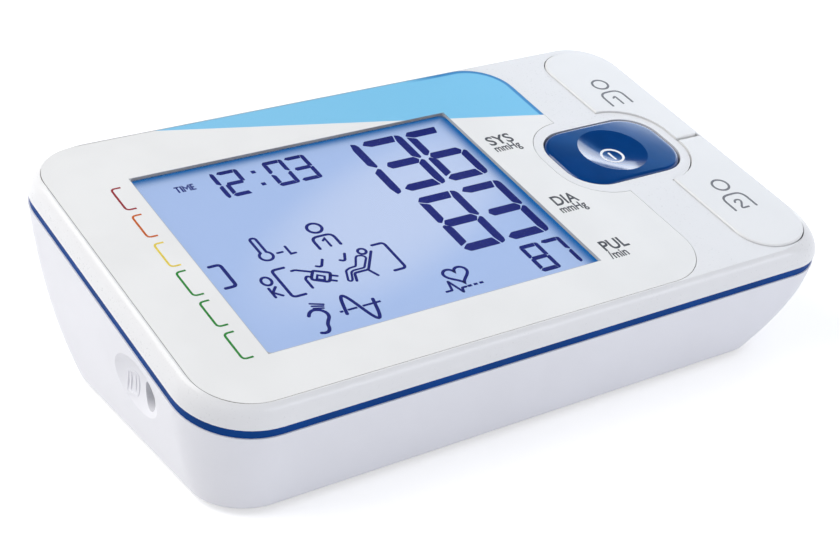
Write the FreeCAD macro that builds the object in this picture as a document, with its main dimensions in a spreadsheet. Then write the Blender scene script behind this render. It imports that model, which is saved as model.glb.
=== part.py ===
import FreeCAD, Part
import math
import os
from collections import namedtuple

import Sketcher
from FreeCAD import Placement, Rotation, Vector

# Desk-top blood-pressure monitor for an upper-arm cuff.
# Frame: millimetres, +Z up, +X to the user's right, the user sits on the -Y side.
# Origin: centre of the footprint box, on the table top.
# The "deck" is the tilted top of the instrument. Deck coordinates are u (along X),
# v (up the slope) and w (square to the slope), with w = 0 in the middle of the seam.

SIZES = {
    # Overall form
    "body_width": 165.0,
    "body_depth": 98.0,
    "deck_tilt": 13.0,
    "seam_height": 30.5,
    "deck_rise": 6.0,
    "front_left_radius": 16.0,
    "front_right_radius": 12.5,
    "rear_right_radius": 13.0,
    "rear_left_radius": 14.0,
    "fit_clearance": 0.2,
    # Lower housing
    "foot_stand": 1.0,
    "base_inset_left": 3.2,
    "base_inset_right": 17.5,
    "base_inset_front": 2.5,
    "base_inset_back": 14.5,
    "base_front_radius": 12.0,
    "base_rear_radius": 15.0,
    "waist_inset_left": 0.6,
    "waist_inset_right": 4.6,
    "waist_inset_front": 1.0,
    "waist_inset_back": 4.0,
    "housing_wall": 2.2,
    "floor_thickness": 2.2,
    "base_edge_radius": 1.2,
    # Coloured band in the seam
    "band_above": 0.6,
    "band_below": 1.6,
    "band_recess": 0.3,
    # Top cover
    "cover_wall": 2.2,
    "cover_top": 2.6,
    "rim_left": 1.9,
    "rim_right": 3.9,
    "rim_front": 1.8,
    "rim_back": 3.1,
    "top_front_left_radius": 14.1,
    "top_front_right_radius": 14.5,
    "top_rear_right_radius": 11.1,
    "top_rear_left_radius": 15.5,
    # Face plate with the display window
    "plate_thickness": 0.7,
    "plate_rim_side": 2.45,
    "plate_rim_front": 2.2,
    "plate_rim_back": 3.5,
    "plate_inset_right": 37.4,
    "plate_front_radius": 12.5,
    "plate_rear_radius": 11.0,
    "plate_gap": 0.15,
    "window_margin_left": 17.6,
    "window_margin_right": 24.15,
    "window_margin_front": 12.5,
    "window_margin_back": 15.7,
    "window_radius": 1.0,
    # Display stack
    "lens_lap": 2.0,
    "lens_thickness": 1.3,
    "lens_gap": 0.1,
    "lcd_thickness": 2.2,
    "light_guide_thickness": 3.2,
    "light_guide_inset": 0.5,
    "lcd_lap": 1.5,
    "lcd_frame_wall": 2.0,
    # Power button and its surround
    "button_inset": 30.8,
    "button_v": 0.9,
    "button_width": 33.0,
    "button_depth": 23.0,
    "button_radius": 8.5,
    "button_proud": 0.5,
    "button_edge_radius": 0.9,
    "dish_radius": 8.7,
    "dish_depth": 1.7,
    "surround_side": 2.6,
    "surround_end": 3.85,
    "surround_flat": 2.65,
    # User keys
    "key_width": 19.4,
    "key_rim_side": 4.6,
    "key_rim_back": 5.3,
    "key_rim_front": 3.1,
    "key_split_v": -0.9,
    "key_split_gap": 0.9,
    "key_gap": 0.3,
    "key_proud": 0.4,
    "key_front_left_radius": 8.5,
    "key_front_right_radius": 10.0,
    "key_rear_right_radius": 10.5,
    "key_rear_left_radius": 8.0,
    "key_inner_radius": 0.8,
    "key_edge_radius": 0.4,
    "flange_thickness": 1.2,
    "flange_lap": 0.9,
    "stem_length": 0.7,
    "stem_radius": 2.6,
    "key_stem_inset": 14.0,
    "key_stem_v": 29.0,
    "dome_radius": 4.6,
    "dome_neck_radius": 3.0,
    "dome_wall": 0.8,
    # Main board
    "board_thickness": 1.6,
    "board_inset_left": 7.5,
    "board_inset_right": 4.5,
    "board_inset_depth": 10.4,
    "board_radius": 3.0,
    "board_boss_radius": 2.4,
    "board_boss_inset_left": 12.0,
    "board_boss_left_front": -14.0,
    "board_boss_left_rear": 12.0,
    "board_boss_inset_right": 31.0,
    "board_boss_right_front": -24.0,
    "board_boss_right_rear": 35.0,
    "board_screw_radius": 0.9,
    "board_screw_head_radius": 2.0,
    "board_screw_head": 1.2,
    "board_screw_grip": 4.0,
    # Housing posts and screws
    "post_inset_left": 7.8,
    "post_inset_right": 13.5,
    "post_inset_depth": 7.25,
    "post_radius": 4.0,
    "post_drop": 6.0,
    "post_seat": 2.5,
    "post_recess_radius": 3.0,
    "boss_radius": 3.4,
    "screw_radius": 1.3,
    "screw_grip": 6.0,
    "screw_head_radius": 2.6,
    "screw_head": 1.8,
    "screw_slot": 0.6,
    # Rubber feet
    "foot_radius": 5.0,
    "foot_sink": 0.8,
    "foot_edge": 0.4,
    "foot_inset_left": 14.5,
    "foot_inset_right": 27.0,
    "foot_inset_depth": 9.25,
    # Battery bay, four AA cells side by side
    "cell_radius": 7.1,
    "cell_length": 49.5,
    "nub_radius": 2.75,
    "nub_length": 1.0,
    "cell_pitch": 14.9,
    "bay_inset": 91.5,
    "bay_front": -25.0,
    "bay_side_gap": 0.5,
    "bay_wall": 1.5,
    "bay_headroom": 0.6,
    "cell_clearance": 0.2,
    "contact_thickness": 0.4,
    "contact_size": 9.0,
    "spring_length": 4.1,
    "spring_base_radius": 4.0,
    "spring_tip_radius": 2.6,
    "spring_wire": 0.8,
    # Battery door
    "door_thickness": 1.8,
    "door_lap": 2.8,
    "door_tongue": 1.0,
    "door_tongue_thickness": 0.8,
    "door_floor_gap": 0.1,
    "grip_width": 14.0,
    "grip_rib": 1.0,
    # Pump
    "pump_inset": 54.5,
    "pump_y": 10.5,
    "pump_z": 15.0,
    "motor_radius": 10.0,
    "motor_length": 20.0,
    "motor_wall": 1.2,
    "rotor_radius": 7.6,
    "rotor_length": 14.0,
    "shaft_radius": 1.0,
    "shaft_clearance": 0.05,
    "crank_radius": 4.0,
    "crank_length": 3.0,
    "head_size": 20.0,
    "head_length": 13.0,
    "head_cavity_radius": 6.0,
    "head_wall": 2.0,
    "cradle_height": 8.0,
    "nozzle_radius": 1.7,
    "nozzle_bore": 0.8,
    "nozzle_length": 4.0,
    "diaphragm_thickness": 0.8,
    "diaphragm_step": 8.0,
    "cradle_margin": 2.0,
    "cradle_width": 18.0,
    # Exhaust valve
    "valve_inset": 42.5,
    "valve_y": -33.0,
    "valve_size": 13.0,
    "valve_length": 13.5,
    "plunger_radius": 2.4,
    "plunger_length": 10.5,
    "plunger_clearance": 0.06,
    "plunger_head_radius": 3.6,
    "plunger_head": 1.2,
    "plunger_travel": 0.8,
    # Cuff socket in the left wall
    "socket_y": -19.4,
    "socket_z": 16.9,
    "socket_bore_radius": 2.9,
    "socket_bore_depth": 9.5,
    "socket_radius": 4.6,
    "socket_length": 11.5,
    "socket_flange_radius": 6.5,
    "socket_flange": 1.2,
    "socket_pad_depth": 4.4,
    "socket_pad_ahead": 11.6,
    "socket_pad_behind": 18.4,
    "socket_pad_below": 9.4,
    "socket_pad_above": 6.6,
    "scoop_behind": 4.55,
    "scoop_below": -0.1,
    "scoop_depth": 2.0,
    "scoop_reach": 4.0,
    "scoop_radius_y": 14.3,
    "scoop_radius_z": 8.8,
    # Mains socket in the rear wall
    "jack_inset": 21.5,
    "jack_z": 21.5,
    "jack_recess": 5.25,
    "jack_width": 9.0,
    "jack_length": 10.3,
    "jack_bore_radius": 3.1,
    "jack_bore_depth": 8.5,
    "jack_pin_radius": 1.0,
    "jack_pin_length": 7.0,
    "jack_shelf": 1.5,
    # Parts on the main board
    "chip_size": 14.0,
    "chip_thickness": 1.6,
    "chip_u": -40.0,
    "chip_v": 0.0,
    "buzzer_radius": 6.0,
    "buzzer_thickness": 4.0,
    "buzzer_inset": 25.5,
    "buzzer_v": 30.0,
    "sensor_inset": 62.5,
    "sensor_v": -34.0,
    "sensor_width": 8.0,
    "sensor_thickness": 3.5,
    "sensor_stalk": 0.8,
    # Air line
    "manifold_bore": 1.0,
    "manifold_branch": 4.6,
    "manifold_length": 14.0,
    "manifold_radius": 2.6,
    # Wires
    "lead_radius": 0.5,
    "lead_spread": 3.0,
    "lead_rise": 5.0,
    "lead_slot_height": 3.0,
    "lead_drop": 1.0,
    "lead_run": 1.7,
    "motor_lead_run": 2.5,
    # Blank rating plate under the floor
    "label_inset": 41.0,
    "label_y": -30.0,
    "label_width": 34.0,
    "label_depth": 22.0,
    "label_thickness": 0.3,
    "label_corner": 1.5,
}

# Places that follow from the sizes, each written the way the sheet's names are read
PLACES = {
    "base_left": "-body_width / 2 + base_inset_left",
    "base_right": "body_width / 2 - base_inset_right",
    "base_front": "-body_depth / 2 * cos(deck_tilt) + base_inset_front",
    "base_back": "body_depth / 2 * cos(deck_tilt) - base_inset_back",
    "plate_right": "body_width / 2 - plate_inset_right",
    "button_u": "body_width / 2 - button_inset",
    "key_left": "body_width / 2 - key_rim_side - key_width",
    "key_stem_u": "body_width / 2 - key_stem_inset",
    "board_left": "-body_width / 2 + board_inset_left",
    "board_right": "body_width / 2 - board_inset_right",
    "board_front": "-body_depth / 2 + board_inset_depth",
    "board_back": "body_depth / 2 - board_inset_depth",
    "board_boss_left": "-body_width / 2 + board_boss_inset_left",
    "board_boss_right": "body_width / 2 - board_boss_inset_right",
    "post_left": "base_left + post_inset_left",
    "post_right": "base_right - post_inset_right",
    "post_front": "base_front + post_inset_depth",
    "post_rear": "base_back - post_inset_depth",
    "foot_left": "base_left + foot_inset_left",
    "foot_right": "base_right - foot_inset_right",
    "foot_front": "base_front + foot_inset_depth",
    "foot_rear": "base_back - foot_inset_depth",
    "bay_centre_x": "body_width / 2 - bay_inset",
    "pump_x": "body_width / 2 - pump_inset",
    "valve_x": "body_width / 2 - valve_inset",
    "sensor_u": "body_width / 2 - sensor_inset",
    "socket_mouth": "-body_width / 2 + socket_pad_depth",
    "jack_x": "-body_width / 2 + jack_inset",
    "jack_face": "body_depth / 2 * cos(deck_tilt) - jack_recess",
    "jack_front": "jack_face - jack_length",
    "buzzer_u": "-body_width / 2 + buzzer_inset",
    "label_x": "base_right - label_inset",
}

doc = FreeCAD.newDocument("blood_pressure_monitor")
dims = doc.addObject("Spreadsheet::Sheet", "dims")
for row, (alias, number) in enumerate(SIZES.items(), start=1):
    dims.set(f"A{row}", alias)
    dims.set(f"B{row}", str(number))
    dims.setAlias(f"B{row}", alias)
doc.recompute()

PIECES = []
Outline = namedtuple("Outline", "left right front back front_left front_right rear_right rear_left")
TILT = "deck_tilt"
LEVEL_TOLERANCE = 1e-4


def bound(expression):
    """Write a formula over the sheet's names the way an object outside the sheet reads it."""
    text = str(expression)
    words = []
    word = ""
    for letter in text + " ":
        if letter.isalnum() or letter == "_":
            word += letter
            continue
        if word in PLACES:
            words.append(f"({bound(PLACES[word])})")
        else:
            words.append(f"dims.{word}" if word in SIZES else word)
        words.append(letter)
        word = ""
    return "".join(words).strip()


def value(expression):
    """Work out a formula from the numbers in the sheet."""
    return float(dims.evalExpression(bound(expression)))


def bind(item, **formulas):
    for name, formula in formulas.items():
        setattr(item, name, value(formula))
        item.setExpression(name, bound(formula))


def set_down(item, x, y, z, turn=None):
    """Place an object at world coordinates, upright or with a fixed turn."""
    item.Placement = Placement(Vector(value(x), value(y), value(z)), turn or Rotation())
    for axis, formula in zip("xyz", (x, y, z)):
        item.setExpression(f".Placement.Base.{axis}", bound(formula))
    return item


def set_on_deck(item, u, v, w):
    """Place an object at deck coordinates, tilted with the deck."""
    y = f"({v}) * cos({TILT}) - ({w}) * sin({TILT})"
    z = f"seam_height + ({v}) * sin({TILT}) + ({w}) * cos({TILT})"
    set_down(item, u, y, z, Rotation(Vector(1, 0, 0), value(TILT)))
    item.setExpression(".Placement.Rotation.Angle", bound(TILT))
    return item


def settle(item, at, deck, turn=None):
    return set_on_deck(item, *at) if deck else set_down(item, *at, turn)


def arc(x, y, radius, start, end):
    circle = Part.Circle(Vector(x, y, 0), Vector(0, 0, 1), radius)
    return Part.ArcOfCircle(circle, math.radians(start), math.radians(end))


def hold(sketch, kind, *where):
    """Add a dimension to a sketch and tie it to its formula."""
    *places, formula = where
    index = sketch.addConstraint(Sketcher.Constraint(kind, *places, value(formula)))
    sketch.setExpression(f"Constraints[{index}]", bound(formula))


def draw_outline(sketch, outline):
    """Rectangle with a radius of its own at each corner, drawn anticlockwise from the front line."""
    left, right, front, back, front_left, front_right, rear_right, rear_left = map(value, outline)
    sketch.addGeometry([
        Part.LineSegment(Vector(left + front_left, front, 0), Vector(right - front_right, front, 0)),
        arc(right - front_right, front + front_right, front_right, -90, 0),
        Part.LineSegment(Vector(right, front + front_right, 0), Vector(right, back - rear_right, 0)),
        arc(right - rear_right, back - rear_right, rear_right, 0, 90),
        Part.LineSegment(Vector(right - rear_right, back, 0), Vector(left + rear_left, back, 0)),
        arc(left + rear_left, back - rear_left, rear_left, 90, 180),
        Part.LineSegment(Vector(left, back - rear_left, 0), Vector(left, front + front_left, 0)),
        arc(left + front_left, front + front_left, front_left, 180, 270),
    ], False)
    for index in range(8):
        sketch.addConstraint(Sketcher.Constraint("Tangent", index, 2, (index + 1) % 8, 1))
    for index in (0, 4):
        sketch.addConstraint(Sketcher.Constraint("Horizontal", index))
    for index in (2, 6):
        sketch.addConstraint(Sketcher.Constraint("Vertical", index))
    hold(sketch, "DistanceX", -1, 1, 6, 1, outline.left)
    hold(sketch, "DistanceX", -1, 1, 2, 1, outline.right)
    hold(sketch, "DistanceY", -1, 1, 0, 1, outline.front)
    hold(sketch, "DistanceY", -1, 1, 4, 1, outline.back)
    for index, radius in zip((7, 1, 3, 5), outline[4:]):
        hold(sketch, "Radius", index, radius)


def draw_polygon(sketch, points):
    """Closed run of straight lines through points given as formulas; "0" sits on the axis."""
    corners = [Vector(value(x), value(y), 0) for x, y in points]
    count = len(points)
    for index in range(count):
        sketch.addGeometry(Part.LineSegment(corners[index], corners[(index + 1) % count]), False)
    for index in range(count):
        sketch.addConstraint(Sketcher.Constraint("Coincident", index, 2, (index + 1) % count, 1))
    for index, (x, y) in enumerate(points):
        if x == "0":
            sketch.addConstraint(Sketcher.Constraint("PointOnObject", index, 1, -2))
        else:
            hold(sketch, "DistanceX", -1, 1, index, 1, x)
        if y == "0":
            sketch.addConstraint(Sketcher.Constraint("PointOnObject", index, 1, -1))
        else:
            hold(sketch, "DistanceY", -1, 1, index, 1, y)


def rounded(left, right, front, back, front_radius, rear_radius):
    """Outline with one radius at its front corners and one at its rear corners."""
    return Outline(left, right, front, back, front_radius, front_radius, rear_radius, rear_radius)


def inset(outline, amount):
    """The same outline pulled in on every side, or let out by a negative amount."""
    radii = [f"({radius}) - ({amount})" for radius in outline[4:]]
    return Outline(
        f"({outline.left}) + ({amount})", f"({outline.right}) - ({amount})",
        f"({outline.front}) + ({amount})", f"({outline.back}) - ({amount})", *radii)


def around(x, y, width, depth, radius):
    """Rounded rectangle about a centre."""
    return rounded(
        f"({x}) - ({width}) / 2", f"({x}) + ({width}) / 2",
        f"({y}) - ({depth}) / 2", f"({y}) + ({depth}) / 2", radius, radius)


def section(label, outline, level, lean=None, deck=False):
    """A closed outline on its own level; lean tilts it about X, as the deck is tilted."""
    sketch = doc.addObject("Sketcher::SketchObject", "Section")
    sketch.Label = label
    draw_outline(sketch, outline)
    if deck:
        return set_on_deck(sketch, "0", "0", level)
    set_down(sketch, "0", "0", level, Rotation(Vector(1, 0, 0), value(lean or "0")))
    if lean:
        sketch.setExpression(".Placement.Rotation.Angle", bound(lean))
    return sketch


def loft(label, sections):
    item = doc.addObject("Part::Loft", "Loft")
    item.Label = label
    item.Sections = sections
    item.Solid = True
    item.Ruled = False
    return item


def prism(label, outline, level, height, deck=True):
    """A rounded rectangle raised into a solid, standing on the deck or in the world frame."""
    item = doc.addObject("Part::Extrusion", "Prism")
    item.Label = label
    item.Base = section(f"{label} outline", outline, level, deck=deck)
    item.DirMode = "Normal"
    item.Solid = True
    bind(item, LengthFwd=height)
    return item


def box(label, at, size, deck=False):
    item = doc.addObject("Part::Box", "Box")
    item.Label = label
    bind(item, Length=size[0], Width=size[1], Height=size[2])
    return settle(item, at, deck)


ALONG = {
    "+x": Rotation(Vector(0, 1, 0), 90),
    "-x": Rotation(Vector(0, 1, 0), -90),
    "+y": Rotation(Vector(1, 0, 0), -90),
    "-y": Rotation(Vector(1, 0, 0), 90),
    "+z": Rotation(),
    "-z": Rotation(Vector(1, 0, 0), 180),
}


def rod(label, radius, length, at, along="+z", deck=False):
    item = doc.addObject("Part::Cylinder", "Rod")
    item.Label = label
    bind(item, Radius=radius, Height=length)
    return settle(item, at, deck, ALONG[along])


def cone(label, foot, tip, height, at, deck=False, along="+z"):
    item = doc.addObject("Part::Cone", "Cone")
    item.Label = label
    bind(item, Radius1=foot, Radius2=tip, Height=height)
    return settle(item, at, deck, ALONG[along])


def fuse(label, shapes):
    item = doc.addObject("Part::MultiFuse", "Fusion")
    item.Label = label
    item.Shapes = shapes
    item.Refine = True
    return item


def common(label, base, tool):
    item = doc.addObject("Part::Common", "Common")
    item.Label = label
    item.Base = base
    item.Tool = tool
    return item


def cut(label, base, tools):
    item = doc.addObject("Part::Cut", "Cut")
    item.Label = label
    item.Base = base
    item.Tool = tools[0] if len(tools) == 1 else fuse(f"{label} cutters", tools)
    return item


def group(label, shapes):
    """Identical loose solids that share one node."""
    item = doc.addObject("Part::Compound", "Group")
    item.Label = label
    item.Links = shapes
    return item


def keep(name, item):
    """Register a finished sub-part under the name that its file takes."""
    item.Label = name
    PIECES.append((name, item))
    return item


def origin_plane(body, role):
    return next(plane for plane in body.Origin.OriginFeatures if plane.Role == role)


def start_body(name):
    body = doc.addObject("PartDesign::Body", "Body")
    return keep(name, body)


def body_sketch(body, role, level="0"):
    sketch = body.newObject("Sketcher::SketchObject", "Sketch")
    sketch.AttachmentSupport = [(origin_plane(body, role), "")]
    sketch.MapMode = "FlatFace"
    sketch.AttachmentOffset = Placement(Vector(0, 0, value(level)), Rotation())
    sketch.setExpression(".AttachmentOffset.Base.z", bound(level))
    return sketch


def pad(body, sketch, length):
    item = body.newObject("PartDesign::Pad", "Pad")
    item.Profile = sketch
    bind(item, Length=length)
    body.Tip = item
    return item


def turned(name, points):
    """A body turned about its own Z axis from half its section, radius by height."""
    body = start_body(name)
    sketch = body_sketch(body, "XZ_Plane")
    draw_polygon(sketch, points)
    turn = body.newObject("PartDesign::Revolution", "Turn")
    turn.Profile = sketch
    turn.ReferenceAxis = (sketch, ["V_Axis"])
    turn.Angle = 360.0
    body.Tip = turn
    return body


def slab(name, outline, level, height, deck=True):
    """A flat rounded plate as a body of one pad."""
    body = start_body(name)
    sketch = body_sketch(body, "XY_Plane")
    draw_outline(sketch, outline)
    pad(body, sketch, height)
    return settle(body, ("0", "0", level), deck)


# ---------------------------------------------------------------- shared levels and outlines

BODY = Outline("-body_width / 2", "body_width / 2", "-body_depth / 2", "body_depth / 2",
               "front_left_radius", "front_right_radius", "rear_right_radius", "rear_left_radius")
COVER_UNDERSIDE = "deck_rise - cover_top"
PLATE_SEAT = "deck_rise - plate_thickness"
LENS_SEAT = f"{PLATE_SEAT} - lens_thickness"
LCD_SEAT = f"{LENS_SEAT} - lens_gap - lcd_thickness"
BOARD_TOP = f"{LCD_SEAT} - light_guide_thickness"
BOARD_UNDERSIDE = f"{BOARD_TOP} - board_thickness"
FLOOR = "foot_stand + floor_thickness"
BUTTON = around("button_u", "button_v", "button_width", "button_depth", "button_radius")
SURROUND = around("button_u", "button_v", "button_width + 2 * surround_side",
                  "button_depth + 2 * surround_end",
                  "button_depth / 2 + surround_end - surround_flat")
PLATE = rounded("-body_width / 2 + plate_rim_side", "plate_right", "-body_depth / 2 + plate_rim_front",
                "body_depth / 2 - plate_rim_back", "plate_front_radius", "plate_rear_radius")
WINDOW = rounded(f"{PLATE.left} + window_margin_left", f"{PLATE.right} - window_margin_right",
                 f"{PLATE.front} + window_margin_front", f"{PLATE.back} - window_margin_back",
                 "window_radius", "window_radius")
LCD = inset(WINDOW, "-lcd_lap")
LENS = inset(WINDOW, "-lens_lap")
KEY_RIGHT = "body_width / 2 - key_rim_side"
KEY_BACK = "body_depth / 2 - key_rim_back"
KEY_FRONT = "-body_depth / 2 + key_rim_front"

POSTS = [(x, y) for x in ("post_left", "post_right") for y in ("post_front", "post_rear")]
BOARD_BOSSES = [(f"board_boss_{side}", f"board_boss_{side}_{end}")
                for side in ("left", "right") for end in ("front", "rear")]
FEET = [("left_front", "foot_left", "foot_front"), ("left_rear", "foot_left", "foot_rear"),
        ("right_front", "foot_right", "foot_front"), ("right_rear", "foot_right", "foot_rear")]

BAY_HALF = "(1.5 * cell_pitch + cell_radius + bay_side_gap)"
BAY_LENGTH = "(cell_length + nub_length + spring_length + 2 * contact_thickness)"
CELL_AXIS = "(foot_stand + door_thickness + door_floor_gap + cell_clearance + cell_radius)"
BAY_CEILING = f"({CELL_AXIS} + cell_radius + bay_headroom)"
BAY_BACK = f"(bay_front + {BAY_LENGTH})"
DOOR_HALF = f"({BAY_HALF} + door_lap)"
DOOR_FRONT = "(bay_front - door_lap)"
TONGUE_LEVEL = "(foot_stand + door_thickness - door_tongue_thickness)"
LEAD_COLUMNS = ("(bay_centre_x - 1.5 * cell_pitch)", "(bay_centre_x + 1.5 * cell_pitch)")
LEAD_LEVEL = f"({CELL_AXIS} + contact_size / 2 - lead_drop)"


def post_top(y):
    """Height at which a housing post ends and the cover's boss begins."""
    return f"(seam_height + ({y}) * tan(deck_tilt) - post_drop)"


def edges_on_deck_level(shape, level):
    """Numbers of the edges that lie flat on one level of the deck."""
    deck = Placement(Vector(0, 0, value("seam_height")), Rotation(Vector(1, 0, 0), value(TILT)))
    flat = shape.transformed(deck.inverse().toMatrix())
    height = value(level)
    return [number for number, edge in enumerate(flat.Edges, start=1)
            if max(abs(edge.BoundBox.ZMin - height), abs(edge.BoundBox.ZMax - height)) < LEVEL_TOLERANCE]


def rounded_edges(label, base, numbers, radius):
    item = doc.addObject("Part::Fillet", "Rounding")
    item.Label = label
    item.Base = base
    item.Edges = [(number, value(radius), value(radius)) for number in numbers]
    return item


# ---------------------------------------------------------------- lower housing

def housing_sections(wall, base_level, seam_level):
    """Base, waist and seam outlines of the bowl, pulled in by a wall."""
    base = rounded("base_left", "base_right", "base_front", "base_back",
                   "base_front_radius", "base_rear_radius")
    waist = Outline("-body_width / 2 + waist_inset_left", "body_width / 2 - waist_inset_right",
                    "(-body_depth / 2 * cos(deck_tilt) + waist_inset_front) / cos(deck_tilt / 2)",
                    "(body_depth / 2 * cos(deck_tilt) - waist_inset_back) / cos(deck_tilt / 2)",
                    "(base_front_radius + front_left_radius) / 2",
                    "(base_front_radius + front_right_radius) / 2",
                    "(base_rear_radius + rear_right_radius) / 2",
                    "(base_rear_radius + rear_left_radius) / 2")
    return [section("base section", inset(base, wall), base_level),
            section("waist section", inset(waist, wall), "(foot_stand + seam_height) / 2", "deck_tilt / 2"),
            section("seam section", inset(BODY, wall), seam_level, deck=True)]


def build_lower_housing():
    sharp = loft("housing outside", housing_sections("0", "foot_stand", "-band_below"))
    doc.recompute()
    level = value("foot_stand")
    rim = [number for number, edge in enumerate(sharp.Shape.Edges, start=1)
           if abs(edge.BoundBox.ZMax - level) < LEVEL_TOLERANCE]
    outside = rounded_edges("housing outside with round base edge", sharp, rim, "base_edge_radius")
    inside = loft("housing inside", housing_sections("housing_wall", FLOOR, "0"))
    shell = cut("housing shell", outside, [inside])

    added = [
        box("battery bay", (f"bay_centre_x - {BAY_HALF} - bay_wall", "bay_front - bay_wall", "foot_stand"),
            (f"2 * ({BAY_HALF} + bay_wall)", f"{BAY_LENGTH} + 2 * bay_wall",
             f"{BAY_CEILING} + bay_wall - foot_stand")),
        box("door frame", (f"bay_centre_x - {DOOR_HALF} - door_tongue - bay_wall",
                           f"{DOOR_FRONT} - bay_wall", "foot_stand"),
            (f"2 * ({DOOR_HALF} + door_tongue + bay_wall)", f"base_back - {DOOR_FRONT} + bay_wall",
             "door_thickness + bay_wall")),
        box("socket pad", ("-body_width / 2", "socket_y - socket_pad_ahead", "socket_z - socket_pad_below"),
            ("socket_pad_depth", "socket_pad_ahead + socket_pad_behind",
             "socket_pad_above + socket_pad_below")),
        box("jack shelf", ("jack_x - jack_width / 2", "jack_front", "jack_z - jack_width / 2 - jack_shelf"),
            ("jack_width", "body_depth / 2 - jack_front", "jack_shelf")),
    ]
    for x, y in POSTS:
        added.append(rod("housing post", "post_radius", f"{post_top(y)} - foot_stand",
                         (x, y, "foot_stand")))
    fittings = common("housing fittings", fuse("raw fittings", added), outside)
    solid = fuse("housing with fittings", [shell, fittings])

    scoop = doc.addObject("Part::Ellipsoid", "Scoop")
    scoop.Label = "socket scoop"
    bind(scoop, Radius1="scoop_radius_z", Radius2="scoop_reach + scoop_depth", Radius3="scoop_radius_y")
    set_down(scoop, "-body_width / 2 - scoop_reach", "socket_y + scoop_behind", "socket_z - scoop_below")

    cutters = [
        scoop,
        box("bay space", (f"bay_centre_x - {BAY_HALF}", "bay_front", "0"),
            (f"2 * {BAY_HALF}", BAY_LENGTH, BAY_CEILING)),
        box("door recess", (f"bay_centre_x - {DOOR_HALF}", DOOR_FRONT, "0"),
            (f"2 * {DOOR_HALF}", f"body_depth / 2 - {DOOR_FRONT}",
             "foot_stand + door_thickness + door_floor_gap")),
        box("tongue grooves", (f"bay_centre_x - {DOOR_HALF} - door_tongue - fit_clearance",
                               DOOR_FRONT, f"{TONGUE_LEVEL} - fit_clearance"),
            (f"2 * ({DOOR_HALF} + door_tongue + fit_clearance)", f"body_depth / 2 - {DOOR_FRONT}",
             "door_tongue_thickness + 2 * fit_clearance")),
        rod("socket hole", "socket_bore_radius + fit_clearance", "socket_pad_depth + scoop_reach",
            ("-body_width / 2 - scoop_reach / 2", "socket_y", "socket_z"), "+x"),
        box("jack window", ("jack_x - jack_width / 2 - fit_clearance", "jack_front + jack_width / 2",
                            "jack_z - jack_width / 2"),
            ("jack_width + 2 * fit_clearance", "body_depth / 2", "jack_width + fit_clearance")),
    ]
    for x in LEAD_COLUMNS:
        cutters.append(box("lead slot", (f"{x} - lead_radius - fit_clearance", "bay_front - 2 * bay_wall",
                                         f"{LEAD_LEVEL} - lead_radius - fit_clearance"),
                           ("2 * (lead_radius + fit_clearance)", "3 * bay_wall", "lead_slot_height")))
    for _, x, y in FEET:
        cutters.append(rod("foot seat", "foot_radius + fit_clearance / 2", "foot_stand + foot_sink",
                           (x, y, "0")))
    for x, y in POSTS:
        cutters.append(rod("screw recess", "post_recess_radius", f"{post_top(y)} - post_seat", (x, y, "0")))
        cutters.append(rod("screw hole", "screw_radius + fit_clearance", post_top(y), (x, y, "foot_stand")))
    return keep("lower_housing", cut("lower_housing", solid, cutters))


# ---------------------------------------------------------------- top cover and seam band

# How the cover's side rounds over: share of its height, share of the rim's width at the
# left and front, and at the right and back
SHOULDER = ((0.0, 0.0, 0.0), (0.45, 0.1, 0.25), (0.82, 0.45, 0.65), (1.0, 1.0, 1.0))


def build_top_cover():
    sections = []
    for rise, pull, far_pull in SHOULDER:
        radii = [f"{corner}_radius + {pull} * (top_{corner}_radius - {corner}_radius)"
                 for corner in ("front_left", "front_right", "rear_right", "rear_left")]
        outline = Outline(f"-body_width / 2 + {pull} * rim_left",
                          f"body_width / 2 - {far_pull} * rim_right",
                          f"-body_depth / 2 + {pull} * rim_front",
                          f"body_depth / 2 - {far_pull} * rim_back", *radii)
        level = f"band_above + {rise} * (deck_rise - band_above)"
        sections.append(section("cover section", outline, level, deck=True))
    shell = cut("cover shell", loft("cover outside", sections),
                [prism("cover inside", inset(BODY, "cover_wall"), "0", COVER_UNDERSIDE)])

    added = [shell]
    for x, y in POSTS:
        length = "post_drop + (deck_rise - cover_top / 2) / cos(deck_tilt)"
        added.append(rod("cover boss", "boss_radius", length, (x, y, post_top(y))))
    for u, v in BOARD_BOSSES:
        length = f"{COVER_UNDERSIDE} + cover_top / 4 - ({BOARD_TOP})"
        added.append(rod("board boss", "board_boss_radius", length, (u, v, BOARD_TOP), deck=True))
    solid = fuse("cover with bosses", added)

    surround = prism("surround", SURROUND, "0", "2 * deck_rise")
    key_field = Outline("key_left - key_gap", f"{KEY_RIGHT} + key_gap", f"{KEY_FRONT} - key_gap",
                        f"{KEY_BACK} + key_gap", "key_front_left_radius + key_gap",
                        "key_front_right_radius + key_gap", "key_rear_right_radius + key_gap",
                        "key_rear_left_radius + key_gap")
    cutters = [
        cut("plate recess", prism("plate recess raw", inset(PLATE, "-plate_gap"), PLATE_SEAT, "deck_rise"),
            [surround]),
        cut("key openings", prism("key openings raw", key_field, "0", "2 * deck_rise"), [surround]),
        prism("lens opening", inset(LENS, "-fit_clearance"), "0", PLATE_SEAT),
        prism("button opening", inset(BUTTON, "-key_gap"), "0", "2 * deck_rise"),
    ]
    for x, y in POSTS:
        cutters.append(rod("boss pilot", "screw_radius", "screw_grip", (x, y, post_top(y))))
    for u, v in BOARD_BOSSES:
        cutters.append(rod("board boss pilot", "board_screw_radius", "board_screw_grip", (u, v, BOARD_TOP),
                           deck=True))
    return keep("top_cover", cut("top_cover", solid, cutters))


def build_seam_band():
    height = "(band_above + band_below)"
    ring = prism("band outside", inset(BODY, "band_recess"), "-band_below", height)
    middle = prism("band inside", inset(BODY, "housing_wall"), f"-{height}", f"2 * {height}")
    return keep("seam_band", cut("seam_band", ring, [middle]))


# ---------------------------------------------------------------- face plate and display

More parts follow.
